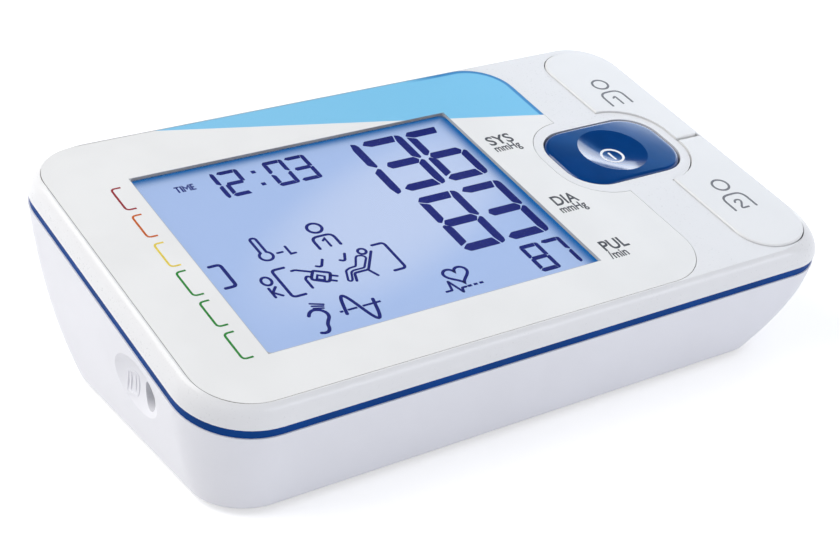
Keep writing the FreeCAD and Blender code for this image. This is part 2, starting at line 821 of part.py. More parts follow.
def build_face_plate():
    blank = prism("plate blank", PLATE, PLATE_SEAT, "plate_thickness")
    window = prism("plate window", WINDOW, "0", "2 * deck_rise")
    notch = prism("plate notch", inset(SURROUND, "-plate_gap"), "0", "2 * deck_rise")
    return keep("face_plate", cut("face_plate", blank, [window, notch]))


def build_display():
    slab("display_lens", LENS, LENS_SEAT, "lens_thickness")
    slab("lcd_panel", LCD, LCD_SEAT, "lcd_thickness")
    slab("light_guide", inset(LCD, "light_guide_inset"), BOARD_TOP, "light_guide_thickness")
    opening = inset(LCD, "-fit_clearance")
    height = f"({COVER_UNDERSIDE} - fit_clearance - ({BOARD_TOP}))"
    outside = prism("frame outside", inset(opening, "-lcd_frame_wall"), BOARD_TOP, height)
    inside = prism("frame inside", opening, f"{BOARD_TOP} - 1", f"{height} + 2")
    keep("lcd_frame", cut("lcd_frame", outside, [inside]))


# ---------------------------------------------------------------- button and keys

STEM_FOOT = f"{COVER_UNDERSIDE} - flange_thickness - stem_length"


def pressed_stack(name, cap, flange, stem_u, stem_v):
    """A cap with the flange that keeps it under the cover and the stem that works its dome."""
    lip = prism(f"{name} flange", flange, f"{COVER_UNDERSIDE} - flange_thickness", "flange_thickness")
    stem = rod(f"{name} stem", "stem_radius", "stem_length + flange_thickness / 2",
               (stem_u, stem_v, STEM_FOOT), deck=True)
    return fuse(f"{name} blank", [cap, lip, stem])


def build_power_button():
    top = "deck_rise + button_proud"
    raw = prism("button cap", BUTTON, COVER_UNDERSIDE, f"{top} - ({COVER_UNDERSIDE})")
    doc.recompute()
    rim = edges_on_deck_level(raw.Shape, top)
    cap = rounded_edges("button cap rounded", raw, rim, "button_edge_radius")
    blank = pressed_stack("button", cap, inset(BUTTON, "-flange_lap"), "button_u", "button_v")
    ball = doc.addObject("Part::Sphere", "Dish")
    ball.Label = "button dish"
    ball_radius = "((dish_radius ^ 2 + dish_depth ^ 2) / (2 * dish_depth))"
    bind(ball, Radius=ball_radius)
    set_on_deck(ball, "button_u", "button_v", f"{top} - dish_depth + {ball_radius}")
    return keep("power_button", cut("power_button", blank, [ball]))


def build_user_keys():
    notch = prism("key notch", inset(SURROUND, "-key_gap"), "0", "2 * deck_rise")
    foot = f"{COVER_UNDERSIDE} - flange_thickness / 2"
    height = "cover_top + key_proud + flange_thickness / 2"
    split = "key_split_gap / 2"
    shapes = {
        "user_key_1": (
            Outline("key_left", KEY_RIGHT, f"key_split_v + {split}", KEY_BACK,
                    "key_inner_radius", "key_inner_radius", "key_rear_right_radius", "key_rear_left_radius"),
            Outline("key_left - flange_lap", f"{KEY_RIGHT} - flange_lap",
                    "button_v + button_depth / 2 + surround_end + flange_lap", f"{KEY_BACK} + flange_lap",
                    "key_inner_radius", "key_inner_radius", "key_rear_right_radius", "key_rear_left_radius"),
            "key_stem_v"),
        "user_key_2": (
            Outline("key_left", KEY_RIGHT, KEY_FRONT, f"key_split_v - {split}",
                    "key_front_left_radius", "key_front_right_radius", "key_inner_radius",
                    "key_inner_radius"),
            Outline("key_left - flange_lap", f"{KEY_RIGHT} - flange_lap", KEY_FRONT,
                    "button_v - button_depth / 2 - surround_end - flange_lap",
                    "key_front_left_radius", "key_front_right_radius", "key_inner_radius",
                    "key_inner_radius"),
            "-key_stem_v"),
    }
    for name, (outline, flange, stem_v) in shapes.items():
        raw = prism(f"{name} cap raw", outline, foot, height)
        doc.recompute()
        top = edges_on_deck_level(raw.Shape, "deck_rise + key_proud")
        cap = cut(f"{name} cap", rounded_edges(f"{name} crown", raw, top, "key_edge_radius"), [notch])
        keep(name, pressed_stack(name, cap, flange, "key_stem_u", stem_v))


def build_domes():
    """Silicone domes between each stem and the main board."""
    height = f"({STEM_FOOT} - ({BOARD_TOP}))"
    places = {"power_dome": ("button_u", "button_v"), "key_dome_1": ("key_stem_u", "key_stem_v"),
              "key_dome_2": ("key_stem_u", "-key_stem_v")}
    for name, (u, v) in places.items():
        outside = cone(f"{name} outside", "dome_radius", "dome_neck_radius", height,
                       (u, v, BOARD_TOP), deck=True)
        inside = cone(f"{name} inside", "dome_radius - dome_wall", "dome_neck_radius - dome_wall",
                      f"{height} - dome_wall", (u, v, BOARD_TOP), deck=True)
        keep(name, cut(name, outside, [inside]))


# ---------------------------------------------------------------- main board and what it carries

def build_main_board():
    outline = rounded("board_left", "board_right", "board_front", "board_back",
                      "board_radius", "board_radius")
    blank = prism("board blank", outline, BOARD_UNDERSIDE, "board_thickness")
    cutters = []
    for x, y in POSTS:
        cutters.append(rod("boss way", "boss_radius + 4 * fit_clearance", "2 * seam_height", (x, y, "0")))
    for u, v in BOARD_BOSSES:
        cutters.append(rod("board screw way", "board_screw_radius + fit_clearance", "4 * board_thickness",
                           (u, v, f"{BOARD_UNDERSIDE} - board_thickness"), deck=True))
    keep("main_board", cut("main_board", blank, cutters))


def build_board_screws():
    screws = []
    for u, v in BOARD_BOSSES:
        head = rod("board screw head", "board_screw_head_radius", "board_screw_head",
                   (u, v, f"{BOARD_UNDERSIDE} - board_screw_head"), deck=True)
        shank = rod("board screw shank", "board_screw_radius", "board_screw_grip + board_thickness",
                    (u, v, BOARD_UNDERSIDE), deck=True)
        screws.append(fuse("board screw", [head, shank]))
    keep("board_screws", group("board_screws", screws))


def build_board_parts():
    slab("microcontroller", around("chip_u", "chip_v", "chip_size", "chip_size", "fit_clearance"),
         f"{BOARD_UNDERSIDE} - chip_thickness", "chip_thickness")
    keep("buzzer", rod("buzzer", "buzzer_radius", "buzzer_thickness",
                       ("buzzer_u", "buzzer_v", f"{BOARD_UNDERSIDE} - buzzer_thickness"), deck=True))
    sensor_foot = f"{BOARD_UNDERSIDE} - sensor_thickness"
    case = box("sensor case", ("sensor_u - sensor_width / 2", "sensor_v - sensor_width / 2", sensor_foot),
               ("sensor_width", "sensor_width", "sensor_thickness"), deck=True)
    stalk = rod("sensor stalk", "manifold_bore", "sensor_stalk",
                ("sensor_u", "sensor_v", f"{sensor_foot} - sensor_stalk"), deck=True)
    keep("pressure_sensor", fuse("pressure_sensor", [case, stalk]))


# ---------------------------------------------------------------- fasteners and feet

def build_housing_screws():
    screws = []
    for x, y in POSTS:
        seat = f"({post_top(y)} - post_seat)"
        head = rod("screw head", "screw_head_radius", "screw_head", (x, y, f"{seat} - screw_head"))
        shank = rod("screw shank", "screw_radius", "post_seat + screw_grip", (x, y, seat))
        below = f"{seat} - 1.5 * screw_head"
        slots = [
            box("screw slot", (f"{x} - screw_radius", f"{y} - screw_slot / 2", below),
                ("2 * screw_radius", "screw_slot", "screw_head")),
            box("screw cross slot", (f"{x} - screw_slot / 2", f"{y} - screw_radius", below),
                ("screw_slot", "2 * screw_radius", "screw_head")),
        ]
        screws.append(cut("housing screw", fuse("screw blank", [head, shank]), slots))
    keep("housing_screws", group("housing_screws", screws))


def build_feet():
    for name, x, y in FEET:
        height = "foot_stand + foot_sink"
        foot = turned(f"foot_{name}", [
            ("0", "0"), ("foot_radius - foot_edge", "0"), ("foot_radius", "foot_edge"),
            ("foot_radius", height), ("0", height)])
        set_down(foot, x, y, "0")


def build_rating_plate():
    outline = around("label_x + label_width / 2", "label_y + label_depth / 2", "label_width", "label_depth",
                     "label_corner")
    slab("rating_plate", outline, "foot_stand - label_thickness", "label_thickness", deck=False)


# ---------------------------------------------------------------- battery bay

def build_battery_door():
    half = f"({DOOR_HALF} - fit_clearance)"
    front = f"({DOOR_FRONT} + fit_clearance)"
    panel = box("door panel", (f"bay_centre_x - {half}", front, "foot_stand"),
                (f"2 * {half}", f"base_back - base_edge_radius - {front}", "door_thickness"))
    tongues = box("door tongues", (f"bay_centre_x - {half} - door_tongue", front, TONGUE_LEVEL),
                  (f"2 * ({half} + door_tongue)", f"base_back - base_edge_radius - {front}",
                   "door_tongue_thickness"))
    grips = []
    for step in (3, 5, 7):
        at = ("bay_centre_x - grip_width / 2", f"{front} + {step} * grip_rib", "foot_stand - grip_rib")
        grips.append(box("door grip", at, ("grip_width", "grip_rib", "1.6 * grip_rib")))
    keep("battery_door", cut("battery_door", fuse("door blank", [panel, tongues]), grips))


def build_cells():
    """Four cells side by side, every second one turned end for end."""
    tip = "cell_length + nub_length"
    profile = [("0", "0"), ("cell_radius", "0"), ("cell_radius", "cell_length"),
               ("nub_radius", "cell_length"), ("nub_radius", tip), ("0", tip)]
    plates = []
    springs = []
    for index in range(4):
        x = f"(bay_centre_x + {index - 1.5} * cell_pitch)"
        forward = index % 2 == 0
        spring_end = "bay_front + contact_thickness" if forward else f"{BAY_BACK} - contact_thickness"
        sign = "+" if forward else "-"
        cell = turned(f"aa_cell_{index + 1}", profile)
        set_down(cell, x, f"{spring_end} {sign} spring_length", CELL_AXIS, ALONG[f"{sign}y"])
        at = (x, spring_end, CELL_AXIS)
        coil = cone("contact spring outside", "spring_base_radius", "spring_tip_radius", "spring_length",
                    at, along=f"{sign}y")
        hollow = cone("contact spring inside", "spring_base_radius - spring_wire",
                      "spring_tip_radius - spring_wire", "spring_length", at, along=f"{sign}y")
        springs.append(cut("contact spring", coil, [hollow]))
        for y in ("bay_front", f"{BAY_BACK} - contact_thickness"):
            corner = (f"{x} - contact_size / 2", y, f"{CELL_AXIS} - contact_size / 2")
            plates.append(box("contact plate", corner, ("contact_size", "contact_thickness", "contact_size")))
    keep("flat_contacts", group("flat_contacts", plates))
    keep("spring_contacts", group("spring_contacts", springs))


# ---------------------------------------------------------------- sockets in the walls

def build_cuff_socket():
    mouth = "socket_mouth"
    axis = ("socket_y", "socket_z")
    barrel = rod("socket barrel", "socket_radius", "socket_length", (mouth, *axis), "+x")
    flange = rod("socket flange", "socket_flange_radius", "socket_flange", (mouth, *axis), "+x")
    nozzle = rod("socket nozzle", "nozzle_radius", "nozzle_length",
                 (f"{mouth} + socket_length", *axis), "+x")
    bore = rod("socket bore", "socket_bore_radius", "socket_bore_depth", (mouth, *axis), "+x")
    airway = rod("socket airway", "nozzle_bore", "socket_length + nozzle_length", (mouth, *axis), "+x")
    keep("cuff_socket", cut("cuff_socket", fuse("socket blank", [barrel, flange, nozzle]), [bore, airway]))


def build_mains_jack():
    block = box("jack block", ("jack_x - jack_width / 2", "jack_front", "jack_z - jack_width / 2"),
                ("jack_width", "jack_length", "jack_width"))
    bore = rod("jack bore", "jack_bore_radius", "jack_bore_depth",
               ("jack_x", "jack_face", "jack_z"), "-y")
    pin = rod("jack pin", "jack_pin_radius", "jack_pin_length",
              ("jack_x", "jack_face - jack_bore_depth", "jack_z"), "+y")
    keep("mains_jack", fuse("mains_jack", [cut("jack shell", block, [bore]), pin]))


# ---------------------------------------------------------------- pump

HEAD_X = "(pump_x + motor_length)"
PUMP_NOZZLE_X = f"({HEAD_X} + head_length / 2)"


def build_pump():
    axis = ("pump_y", "pump_z")
    can = rod("motor can outside", "motor_radius", "motor_length", ("pump_x", *axis), "+x")
    room = rod("motor can inside", "motor_radius - motor_wall", "motor_length - 2 * motor_wall",
               ("pump_x + motor_wall", *axis), "+x")
    bearing = rod("motor bearing", "shaft_radius + shaft_clearance", "motor_length",
                  ("pump_x", *axis), "+x")
    keep("motor_can", cut("motor_can", can, [room, bearing]))

    start = "motor_wall / 2"
    armature = "(motor_length - rotor_length) / 2"
    crank = "motor_length + motor_wall"
    rotor = turned("motor_rotor", [
        ("0", start), ("shaft_radius", start), ("shaft_radius", armature), ("rotor_radius", armature),
        ("rotor_radius", f"{armature} + rotor_length"), ("shaft_radius", f"{armature} + rotor_length"),
        ("shaft_radius", crank), ("crank_radius", crank), ("crank_radius", f"{crank} + crank_length"),
        ("0", f"{crank} + crank_length")])
    set_down(rotor, "pump_x", *axis, ALONG["+x"])

    head = box("pump head block", (HEAD_X, "pump_y - head_size / 2", "pump_z - head_size / 2"),
               ("head_length", "head_size", "head_size"))
    nozzle = rod("pump nozzle", "nozzle_radius", "nozzle_length + head_wall",
                 (PUMP_NOZZLE_X, "pump_y - head_size / 2 + head_wall", "pump_z"), "-y")
    chamber = rod("pump chamber", "head_cavity_radius", "head_length - head_wall", (HEAD_X, *axis), "+x")
    airway = rod("pump airway", "nozzle_bore", "nozzle_length + head_size / 2",
                 (PUMP_NOZZLE_X, "pump_y", "pump_z"), "-y")
    keep("pump_head", cut("pump_head", fuse("pump head blank", [head, nozzle]), [chamber, airway]))
    keep("pump_diaphragm", rod("pump_diaphragm", "head_cavity_radius", "diaphragm_thickness",
                               (f"{HEAD_X} + diaphragm_step", *axis), "+x"))

    saddle = box("cradle block", ("pump_x + cradle_margin", "pump_y - cradle_width / 2", FLOOR),
                 ("motor_length - 2 * cradle_margin", "cradle_width", "cradle_height"))
    bed = rod("cradle bed", "motor_radius", "motor_length", ("pump_x", *axis), "+x")
    keep("pump_cradle", cut("pump_cradle", saddle, [bed]))


# ---------------------------------------------------------------- exhaust valve and air line

def on_deck(v, w):
    """World y and z of a point given by its deck coordinates."""
    return (f"(({v}) * cos(deck_tilt) - ({w}) * sin(deck_tilt))",
            f"(seam_height + ({v}) * sin(deck_tilt) + ({w}) * cos(deck_tilt))")


MANIFOLD_DROP = f"({BOARD_UNDERSIDE} - sensor_thickness - sensor_stalk - manifold_radius)"
AIR_Y, AIR_Z = on_deck("sensor_v", MANIFOLD_DROP)
MANIFOLD_LEFT = "(sensor_u - manifold_length / 2)"
MANIFOLD_RIGHT = "(sensor_u + manifold_length / 2)"
BRANCH_X = f"({MANIFOLD_RIGHT} - nozzle_radius)"


def build_valve():
    back = "(valve_y + valve_length)"
    axis = ("valve_x + valve_size / 2", FLOOR + " + valve_size / 2")
    block = box("valve block", ("valve_x", "valve_y", FLOOR), ("valve_size", "valve_length", "valve_size"))
    nozzle = rod("valve nozzle", "nozzle_radius", "nozzle_length + head_wall",
                 ("valve_x + head_wall", AIR_Y, AIR_Z), "-x")
    guide = rod("valve guide", "plunger_radius + plunger_clearance",
                "plunger_length + 2 * plunger_travel", (axis[0], back, axis[1]), "-y")
    airway = rod("valve airway", "nozzle_bore", "valve_size / 2 + nozzle_length",
                 ("valve_x + valve_size / 2", AIR_Y, AIR_Z), "-x")
    keep("valve_body", cut("valve_body", fuse("valve blank", [block, nozzle]), [guide, airway]))
    plunger = turned("valve_plunger", [
        ("0", "0"), ("plunger_radius", "0"), ("plunger_radius", "plunger_length"),
        ("plunger_head_radius", "plunger_length"),
        ("plunger_head_radius", "plunger_length + plunger_head"), ("0", "plunger_length + plunger_head")])
    set_down(plunger, axis[0], f"{back} + plunger_travel - plunger_length", axis[1], ALONG["+y"])


def build_manifold():
    pipe = rod("manifold pipe", "manifold_radius", "manifold_length", (MANIFOLD_LEFT, AIR_Y, AIR_Z), "+x")
    branch = rod("manifold branch", "nozzle_radius", "manifold_branch",
                 (BRANCH_X, AIR_Y, AIR_Z), "+y")
    bore = rod("manifold bore", "manifold_bore", "manifold_length", (MANIFOLD_LEFT, AIR_Y, AIR_Z), "+x")
    branch_bore = rod("manifold branch bore", "nozzle_bore", "manifold_branch",
                      (BRANCH_X, AIR_Y, AIR_Z), "+y")
    keep("air_manifold", cut("air_manifold", fuse("manifold blank", [pipe, branch]), [bore, branch_bore]))


# ---------------------------------------------------------------- air tubes and wires

def tube_shape(name, points, radius):
    """A solid tube of straight runs joined by tangent arcs, each as large as its two runs allow."""
    route = [Vector(*(value(part) for part in point)) for point in points]
    edges = []
    start = route[0]
    for before, corner, after in zip(route, route[1:], route[2:]):
        into = (corner - before).normalize()
        out = (after - corner).normalize()
        half_turn = into.getAngle(out) / 2
        reach = 0.45 * min(corner.distanceToPoint(before), corner.distanceToPoint(after))
        bend = reach / math.tan(half_turn)
        first = corner - into * reach
        last = corner + out * reach
        middle = corner + (out - into).normalize() * bend * (1 / math.cos(half_turn) - 1)
        edges.append(Part.LineSegment(start, first).toShape())
        edges.append(Part.Arc(first, middle, last).toShape())
        start = last
        print(f"{name}: bend radius {bend:.1f} mm")
    edges.append(Part.LineSegment(start, route[-1]).toShape())
    spine = Part.Wire(edges)
    ring = Part.Wire([Part.makeCircle(radius, route[0], route[1] - route[0])])
    shape = spine.makePipeShell([ring], True, True)
    share = shape.Volume / (math.pi * radius ** 2 * spine.Length)
    print(f"{name}: length {spine.Length:.1f} mm, volume {share:.4f} of section by length")
    return shape


def keep_tubes(name, routes, radius):
    """Register one tube, or several alike, as one node."""
    shapes = [tube_shape(name, points, value(radius)) for points in routes]
    item = doc.addObject("Part::Feature", "Tube")
    item.Shape = shapes[0] if len(shapes) == 1 else Part.makeCompound(shapes)
    return keep(name, item)


def build_air_tubes():
    socket_end = "socket_mouth + socket_length + nozzle_length"
    keep_tubes("socket_tube", [[
        (socket_end, "socket_y", "socket_z"),
        ("-51", "socket_y", "socket_z"),
        ("-39.5", "-33", "14.2"),
        ("-21", "-35.3", "12.5"),
        ("-3", AIR_Y, AIR_Z),
        (MANIFOLD_LEFT, AIR_Y, AIR_Z),
    ]], "nozzle_radius")
    keep_tubes("valve_tube", [[
        (MANIFOLD_RIGHT, AIR_Y, AIR_Z),
        ("valve_x - nozzle_length", AIR_Y, AIR_Z),
    ]], "nozzle_radius")
    keep_tubes("pump_tube", [[
        (BRANCH_X, f"{AIR_Y} + manifold_branch", AIR_Z),
        (BRANCH_X, "-18.6", AIR_Z),
        ("31.5", "-13.4", "15.2"),
        ("48.3", "-16.2", "16"),
        (PUMP_NOZZLE_X, "-11", "pump_z"),
        (PUMP_NOZZLE_X, "pump_y - head_size / 2 - nozzle_length", "pump_z"),
    ]], "nozzle_radius")


def up_to_board(x, y):
    """Last two points of a wire that rises square to the main board's underside."""
    v = f"(({y}) / cos(deck_tilt) + ({BOARD_UNDERSIDE} - lead_rise) * tan(deck_tilt))"
    return [(x, *on_deck(v, f"{BOARD_UNDERSIDE} - lead_rise")), (x, *on_deck(v, BOARD_UNDERSIDE))]


def build_wires():
    battery = []
    for x in LEAD_COLUMNS:
        battery.append([
            (x, "bay_front", LEAD_LEVEL),
            (x, "bay_front - lead_run", LEAD_LEVEL),
            (x, "bay_front - 1.5 * lead_run", f"{LEAD_LEVEL} + 0.9 * lead_run"),
            *up_to_board(x, "bay_front - 1.55 * lead_run"),
        ])
    keep_tubes("battery_leads", battery, "lead_radius")
    motor = []
    for side in ("-", "+"):
        y = f"pump_y {side} lead_spread"
        motor.append([
            ("pump_x", y, "pump_z - lead_drop"),
            ("pump_x - motor_lead_run", y, "pump_z - lead_drop"),
            ("pump_x - 1.64 * motor_lead_run", y, "pump_z - lead_drop + 0.68 * motor_lead_run"),
            *up_to_board("pump_x - 1.72 * motor_lead_run", y),
        ])
    keep_tubes("motor_leads", motor, "lead_radius")


# ---------------------------------------------------------------- build, check and write

build_lower_housing()
build_top_cover()
build_seam_band()
build_face_plate()
build_display()
build_power_button()
build_user_keys()
build_domes()
build_main_board()
build_board_screws()
build_board_parts()
build_housing_screws()
build_feet()
build_rating_plate()
build_battery_door()
build_cells()
build_cuff_socket()
build_mains_jack()
build_pump()
build_valve()
build_manifold()
build_air_tubes()
build_wires()
doc.recompute()

failed = [item.Label for item in doc.Objects if {"Invalid", "Error"} & set(item.State)]
for name, item in PIECES:
    if item.Shape.isNull() or not item.Shape.isValid() or not item.Shape.Solids:
        failed.append(name)
if failed:
    raise RuntimeError(f"these objects failed: {failed}")

os.makedirs("parts", exist_ok=True)
for name, item in PIECES:
    item.Shape.exportStep(f"parts/{name}.step")
    extent = item.Shape.BoundBox
    print(f"{name}: {len(item.Shape.Solids)} solid(s), {item.Shape.Volume:.1f} mm3, "
          f"z {extent.ZMin:.2f} to {extent.ZMax:.2f}")
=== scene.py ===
import logging
import math
from collections.abc import Callable, Sequence
from dataclasses import dataclass
from enum import Enum
from functools import reduce

import bmesh
import bpy
import numpy as np
from mathutils import Matrix, Vector


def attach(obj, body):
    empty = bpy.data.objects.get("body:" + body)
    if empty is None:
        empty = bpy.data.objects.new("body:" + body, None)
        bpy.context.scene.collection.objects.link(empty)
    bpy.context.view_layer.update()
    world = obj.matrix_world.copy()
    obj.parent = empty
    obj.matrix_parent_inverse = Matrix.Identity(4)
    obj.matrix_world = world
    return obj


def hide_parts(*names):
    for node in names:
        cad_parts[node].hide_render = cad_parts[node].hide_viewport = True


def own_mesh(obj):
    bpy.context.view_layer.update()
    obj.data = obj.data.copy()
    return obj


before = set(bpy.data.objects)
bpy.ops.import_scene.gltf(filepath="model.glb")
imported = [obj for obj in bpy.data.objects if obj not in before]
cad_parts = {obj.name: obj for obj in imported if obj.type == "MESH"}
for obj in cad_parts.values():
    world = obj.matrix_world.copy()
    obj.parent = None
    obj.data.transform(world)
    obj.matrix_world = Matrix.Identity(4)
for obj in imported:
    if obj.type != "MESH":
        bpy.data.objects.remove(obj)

# Desk-top blood-pressure monitor: finishes, printed artwork, display digits, button and studio.
# World frame in metres, +Z up. Deck coordinates are in millimetres: u along X, v up the sloping
# top, w square to it, with w = 0 in the middle of the seam.

LOG = logging.getLogger("monitor")
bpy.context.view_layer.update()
MM = 0.001
DECK_TILT = math.radians(13.0)
TILT_COS, TILT_SIN = math.cos(DECK_TILT), math.sin(DECK_TILT)
SEAM_HEIGHT = 30.5
SCOOP_MIDDLE = (-86.5, -14.85, 17.0)
SCOOP_HALF = (6.0, 14.3, 8.8)
REAR_WALL_HALF = 60.0
REAR_WALL_FOOT = 4.0
REAR_WALL_ROW = 0.5
WELD_REACH = 1e-7
TINY = 1e-9
ROUND_REACH = 0.48
FULL_TURN = 2 * math.pi
QUARTER_TURN = math.pi / 2
WHITE = (255, 255, 255)

Outline = Sequence[tuple[float, float]] | np.ndarray
Triple = tuple[float, float, float]
Colour = Triple
Surface = Callable[[np.ndarray, np.ndarray | float], np.ndarray]


class Body(Enum):
    """Rigid bodies that new pieces ride on."""

    MONITOR = "monitor_body"
    POWER_BUTTON = "power_button_body"
    USER_KEY_1 = "user_key_1_body"
    USER_KEY_2 = "user_key_2_body"
    BATTERY_DOOR = "battery_door_body"


class Ends(Enum):
    """How a printed line stops."""

    ROUND = "round"
    SQUARE = "square"


def deck_to_world(u: np.ndarray, v: np.ndarray, w: np.ndarray | float) -> np.ndarray:
    """Deck millimetres to world metres.

    v and w turn about X by the deck's tilt, then rise to the seam:
    y = v cos - w sin, z = seam + v sin + w cos.

    Args:
        u: Places along the deck's width.
        v: Places up the slope.
        w: Heights square to the slope.

    Returns:
        An array with one more axis, of length 3.
    """
    u, v, w = np.broadcast_arrays(u, v, w)
    rise = SEAM_HEIGHT + v * TILT_SIN + w * TILT_COS
    return np.stack((u, v * TILT_COS - w * TILT_SIN, rise), axis=-1) * MM


def node_points(node: str) -> np.ndarray:
    """Corners of a CAD node's mesh in world millimetres.

    Args:
        node: Name of the CAD node.

    Returns:
        Places of shape (n, 3).
    """
    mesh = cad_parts[node].data
    flat = np.empty(len(mesh.vertices) * 3)
    mesh.vertices.foreach_get("co", flat)
    return flat.reshape(-1, 3) / MM


def node_on_deck(node: str) -> tuple[np.ndarray, np.ndarray, np.ndarray]:
    """Corners of a CAD node's mesh in deck millimetres.

    It turns deck_to_world back: v = y cos + (z - seam) sin, w = (z - seam) cos - y sin.

    Args:
        node: Name of the CAD node.

    Returns:
        All u, all v and all w.
    """
    x, y, z = node_points(node).T
    rise = z - SEAM_HEIGHT
    return x, y * TILT_COS + rise * TILT_SIN, rise * TILT_COS - y * TILT_SIN


def on_deck(node: str) -> Surface:
    """The deck level of a CAD node's highest face, as a surface for prints.

    Args:
        node: Name of the CAD node.

    Returns:
        A function of deck places (..., 2) and a height above the face, giving world places.
    """
    level = float(node_on_deck(node)[2].max())
    return lambda flat, height: deck_to_world(flat[..., 0], flat[..., 1], level + height)


def under_base(level: float) -> Surface:
    """A level under the monitor, seen from below: places (x, y), heights downwards."""
    return lambda flat, height: np.stack(np.broadcast_arrays(
        flat[..., 0], flat[..., 1], level - height), axis=-1) * MM


def in_scoop(flat: np.ndarray, height: np.ndarray | float) -> np.ndarray:
    """The scoop around the cuff socket in the left wall, as a surface for reliefs.

    The scoop is an ellipsoid, and with its middle (a, b, c) and half axes (p, q, r)
    x = a + p sqrt(1 - ((y - b) / q)^2 - ((z - c) / r)^2) - height.

    Args:
        flat: Places (y, z) in millimetres, shape (..., 2).
        height: Height above the scoop's floor.

    Returns:
        World places, shape (..., 3).
    """
    inside = 1 - (((flat - SCOOP_MIDDLE[1:]) / SCOOP_HALF[1:]) ** 2).sum(axis=-1)
    x = SCOOP_MIDDLE[0] + SCOOP_HALF[0] * np.sqrt(np.maximum(inside, 0.0)) - height
    return np.stack(np.broadcast_arrays(x, flat[..., 0], flat[..., 1]), axis=-1) * MM


def on_rear_wall() -> Surface:
    """The housing's rear wall between its corners, as a surface for reliefs.

    The wall's y is a parabola in z, fitted to the outermost corner of each row of heights.

    Returns:
        A function of places (x, z) and a height outwards, giving world places.
    """
    points = node_points("lower_housing")
    back = points[(np.abs(points[:, 0]) < REAR_WALL_HALF) & (points[:, 2] > REAR_WALL_FOOT)]
    rows = np.round(back[:, 2] / REAR_WALL_ROW)
    order = np.lexsort((-back[:, 1], rows))
    outer = back[order[np.unique(rows[order], return_index=True)[1]]]
    bend = np.polyfit(outer[:, 2], outer[:, 1], 2)
    return lambda flat, height: np.stack(np.broadcast_arrays(
        flat[..., 0], np.polyval(bend, flat[..., 1]) + height, flat[..., 1]), axis=-1) * MM


# ---------------------------------------------------------------- meshes


class Shell:
    """Points and faces of one closed piece, gathered part by part."""

    def __init__(self) -> None:
        """Start with nothing."""
        self._points: list[np.ndarray] = []
        self._faces: list[Sequence[int]] = []
        self._count = 0

    def add(self, points: np.ndarray, faces: Sequence[Sequence[int]]) -> None:
        """Add loose points with faces that number them from 0.

        Args:
            points: World places, shape (n, 3).
            faces: Corner numbers of each face.
        """
        self._faces.extend([[corner + self._count for corner in face] for face in faces])
        self._points.append(points.reshape(-1, 3))
        self._count += len(self._points[-1])

    def grid(self, points: np.ndarray, wrap_rows: bool = False, wrap_columns: bool = False) -> None:
        """Add a sheet of quads between neighbours of a grid.

        Args:
            points: World places, shape (rows, columns, 3).
            wrap_rows: Join the last row to the first.
            wrap_columns: Join the last column to the first.
        """
        rows, columns = points.shape[:2]
        index = np.arange(rows * columns).reshape(rows, columns)
        if wrap_rows:
            index = np.concatenate((index, index[:1]))
        if wrap_columns:
            index = np.concatenate((index, index[:, :1]), axis=1)
        quads = np.stack((index[:-1, :-1], index[:-1, 1:], index[1:, 1:], index[1:, :-1]), axis=-1)
        self.add(points, quads.reshape(-1, 4).tolist())

    def plate(self, lower: np.ndarray, upper: np.ndarray) -> None:
        """Add a closed plate between two matching outlines.

        Args:
            lower: World places round the foot, shape (n, 3).
            upper: World places round the top, shape (n, 3).
        """
        count = len(lower)
        ring = np.arange(count)
        after = np.roll(ring, -1)
        sides = np.stack((ring, after, after + count, ring + count), axis=-1).tolist()
        faces = [ring[::-1].tolist(), (ring + count).tolist(), *sides]
        self.add(np.concatenate((lower, upper)), faces)

    def build(self, name: str, crease: float = 40.0) -> bpy.types.Object:
        """Make the mesh, weld its seams and poles and turn every face outwards.

        Args:
            name: Name of the new object.
            crease: Edges sharper than this many degrees stay sharp.

        Returns:
            The new object, at the origin.
        """
        mesh = bpy.data.meshes.new(name)
        mesh.from_pydata(np.concatenate(self._points).tolist(), [], self._faces)
        work = bmesh.new()
        work.from_mesh(mesh)
        bmesh.ops.remove_doubles(work, verts=work.verts, dist=WELD_REACH)
        bmesh.ops.recalc_face_normals(work, faces=work.faces)
        work.to_mesh(mesh)
        work.free()
        mesh.shade_smooth()
        mesh.set_sharp_from_angle(angle=math.radians(crease))
        mesh.update()
        item = bpy.data.objects.new(name, mesh)
        bpy.context.scene.collection.objects.link(item)
        return item


def rounded_corners(path: Outline, radius: float, closed: bool, steps: int = 7) -> np.ndarray:
    """A path whose corners are replaced by short curves.

    Each corner C gives way to the curve (1-t)^2 A + 2t(1-t) C + t^2 B, where A and B lie on the
    two neighbouring runs at the corner's radius, or at ROUND_REACH of a run that is shorter.

    Args:
        path: Corner points.
        radius: How far from the corner the curve starts.
        closed: Whether the last point joins the first.
        steps: Samples on each curve.

    Returns:
        Points of shape (n, 2).
    """
    points = np.array(path, dtype=float)
    if radius <= 0 or len(points) < 3:
        return points
    corners = points if closed else points[1:-1]
    before = np.roll(points, 1, axis=0) if closed else points[:-2]
    after = np.roll(points, -1, axis=0) if closed else points[2:]
    t = np.linspace(0, 1, steps)[None, :, None]
    ends = []
    for neighbour in (before, after):
        run = neighbour - corners
        length = np.linalg.norm(run, axis=1, keepdims=True)
        ends.append(corners + run / length * np.minimum(radius, ROUND_REACH * length))
    curve = ((1 - t) ** 2 * ends[0][:, None] + 2 * t * (1 - t) * corners[:, None]
             + t ** 2 * ends[1][:, None]).reshape(-1, 2)
    return curve if closed else np.concatenate((points[:1], curve, points[-1:]))


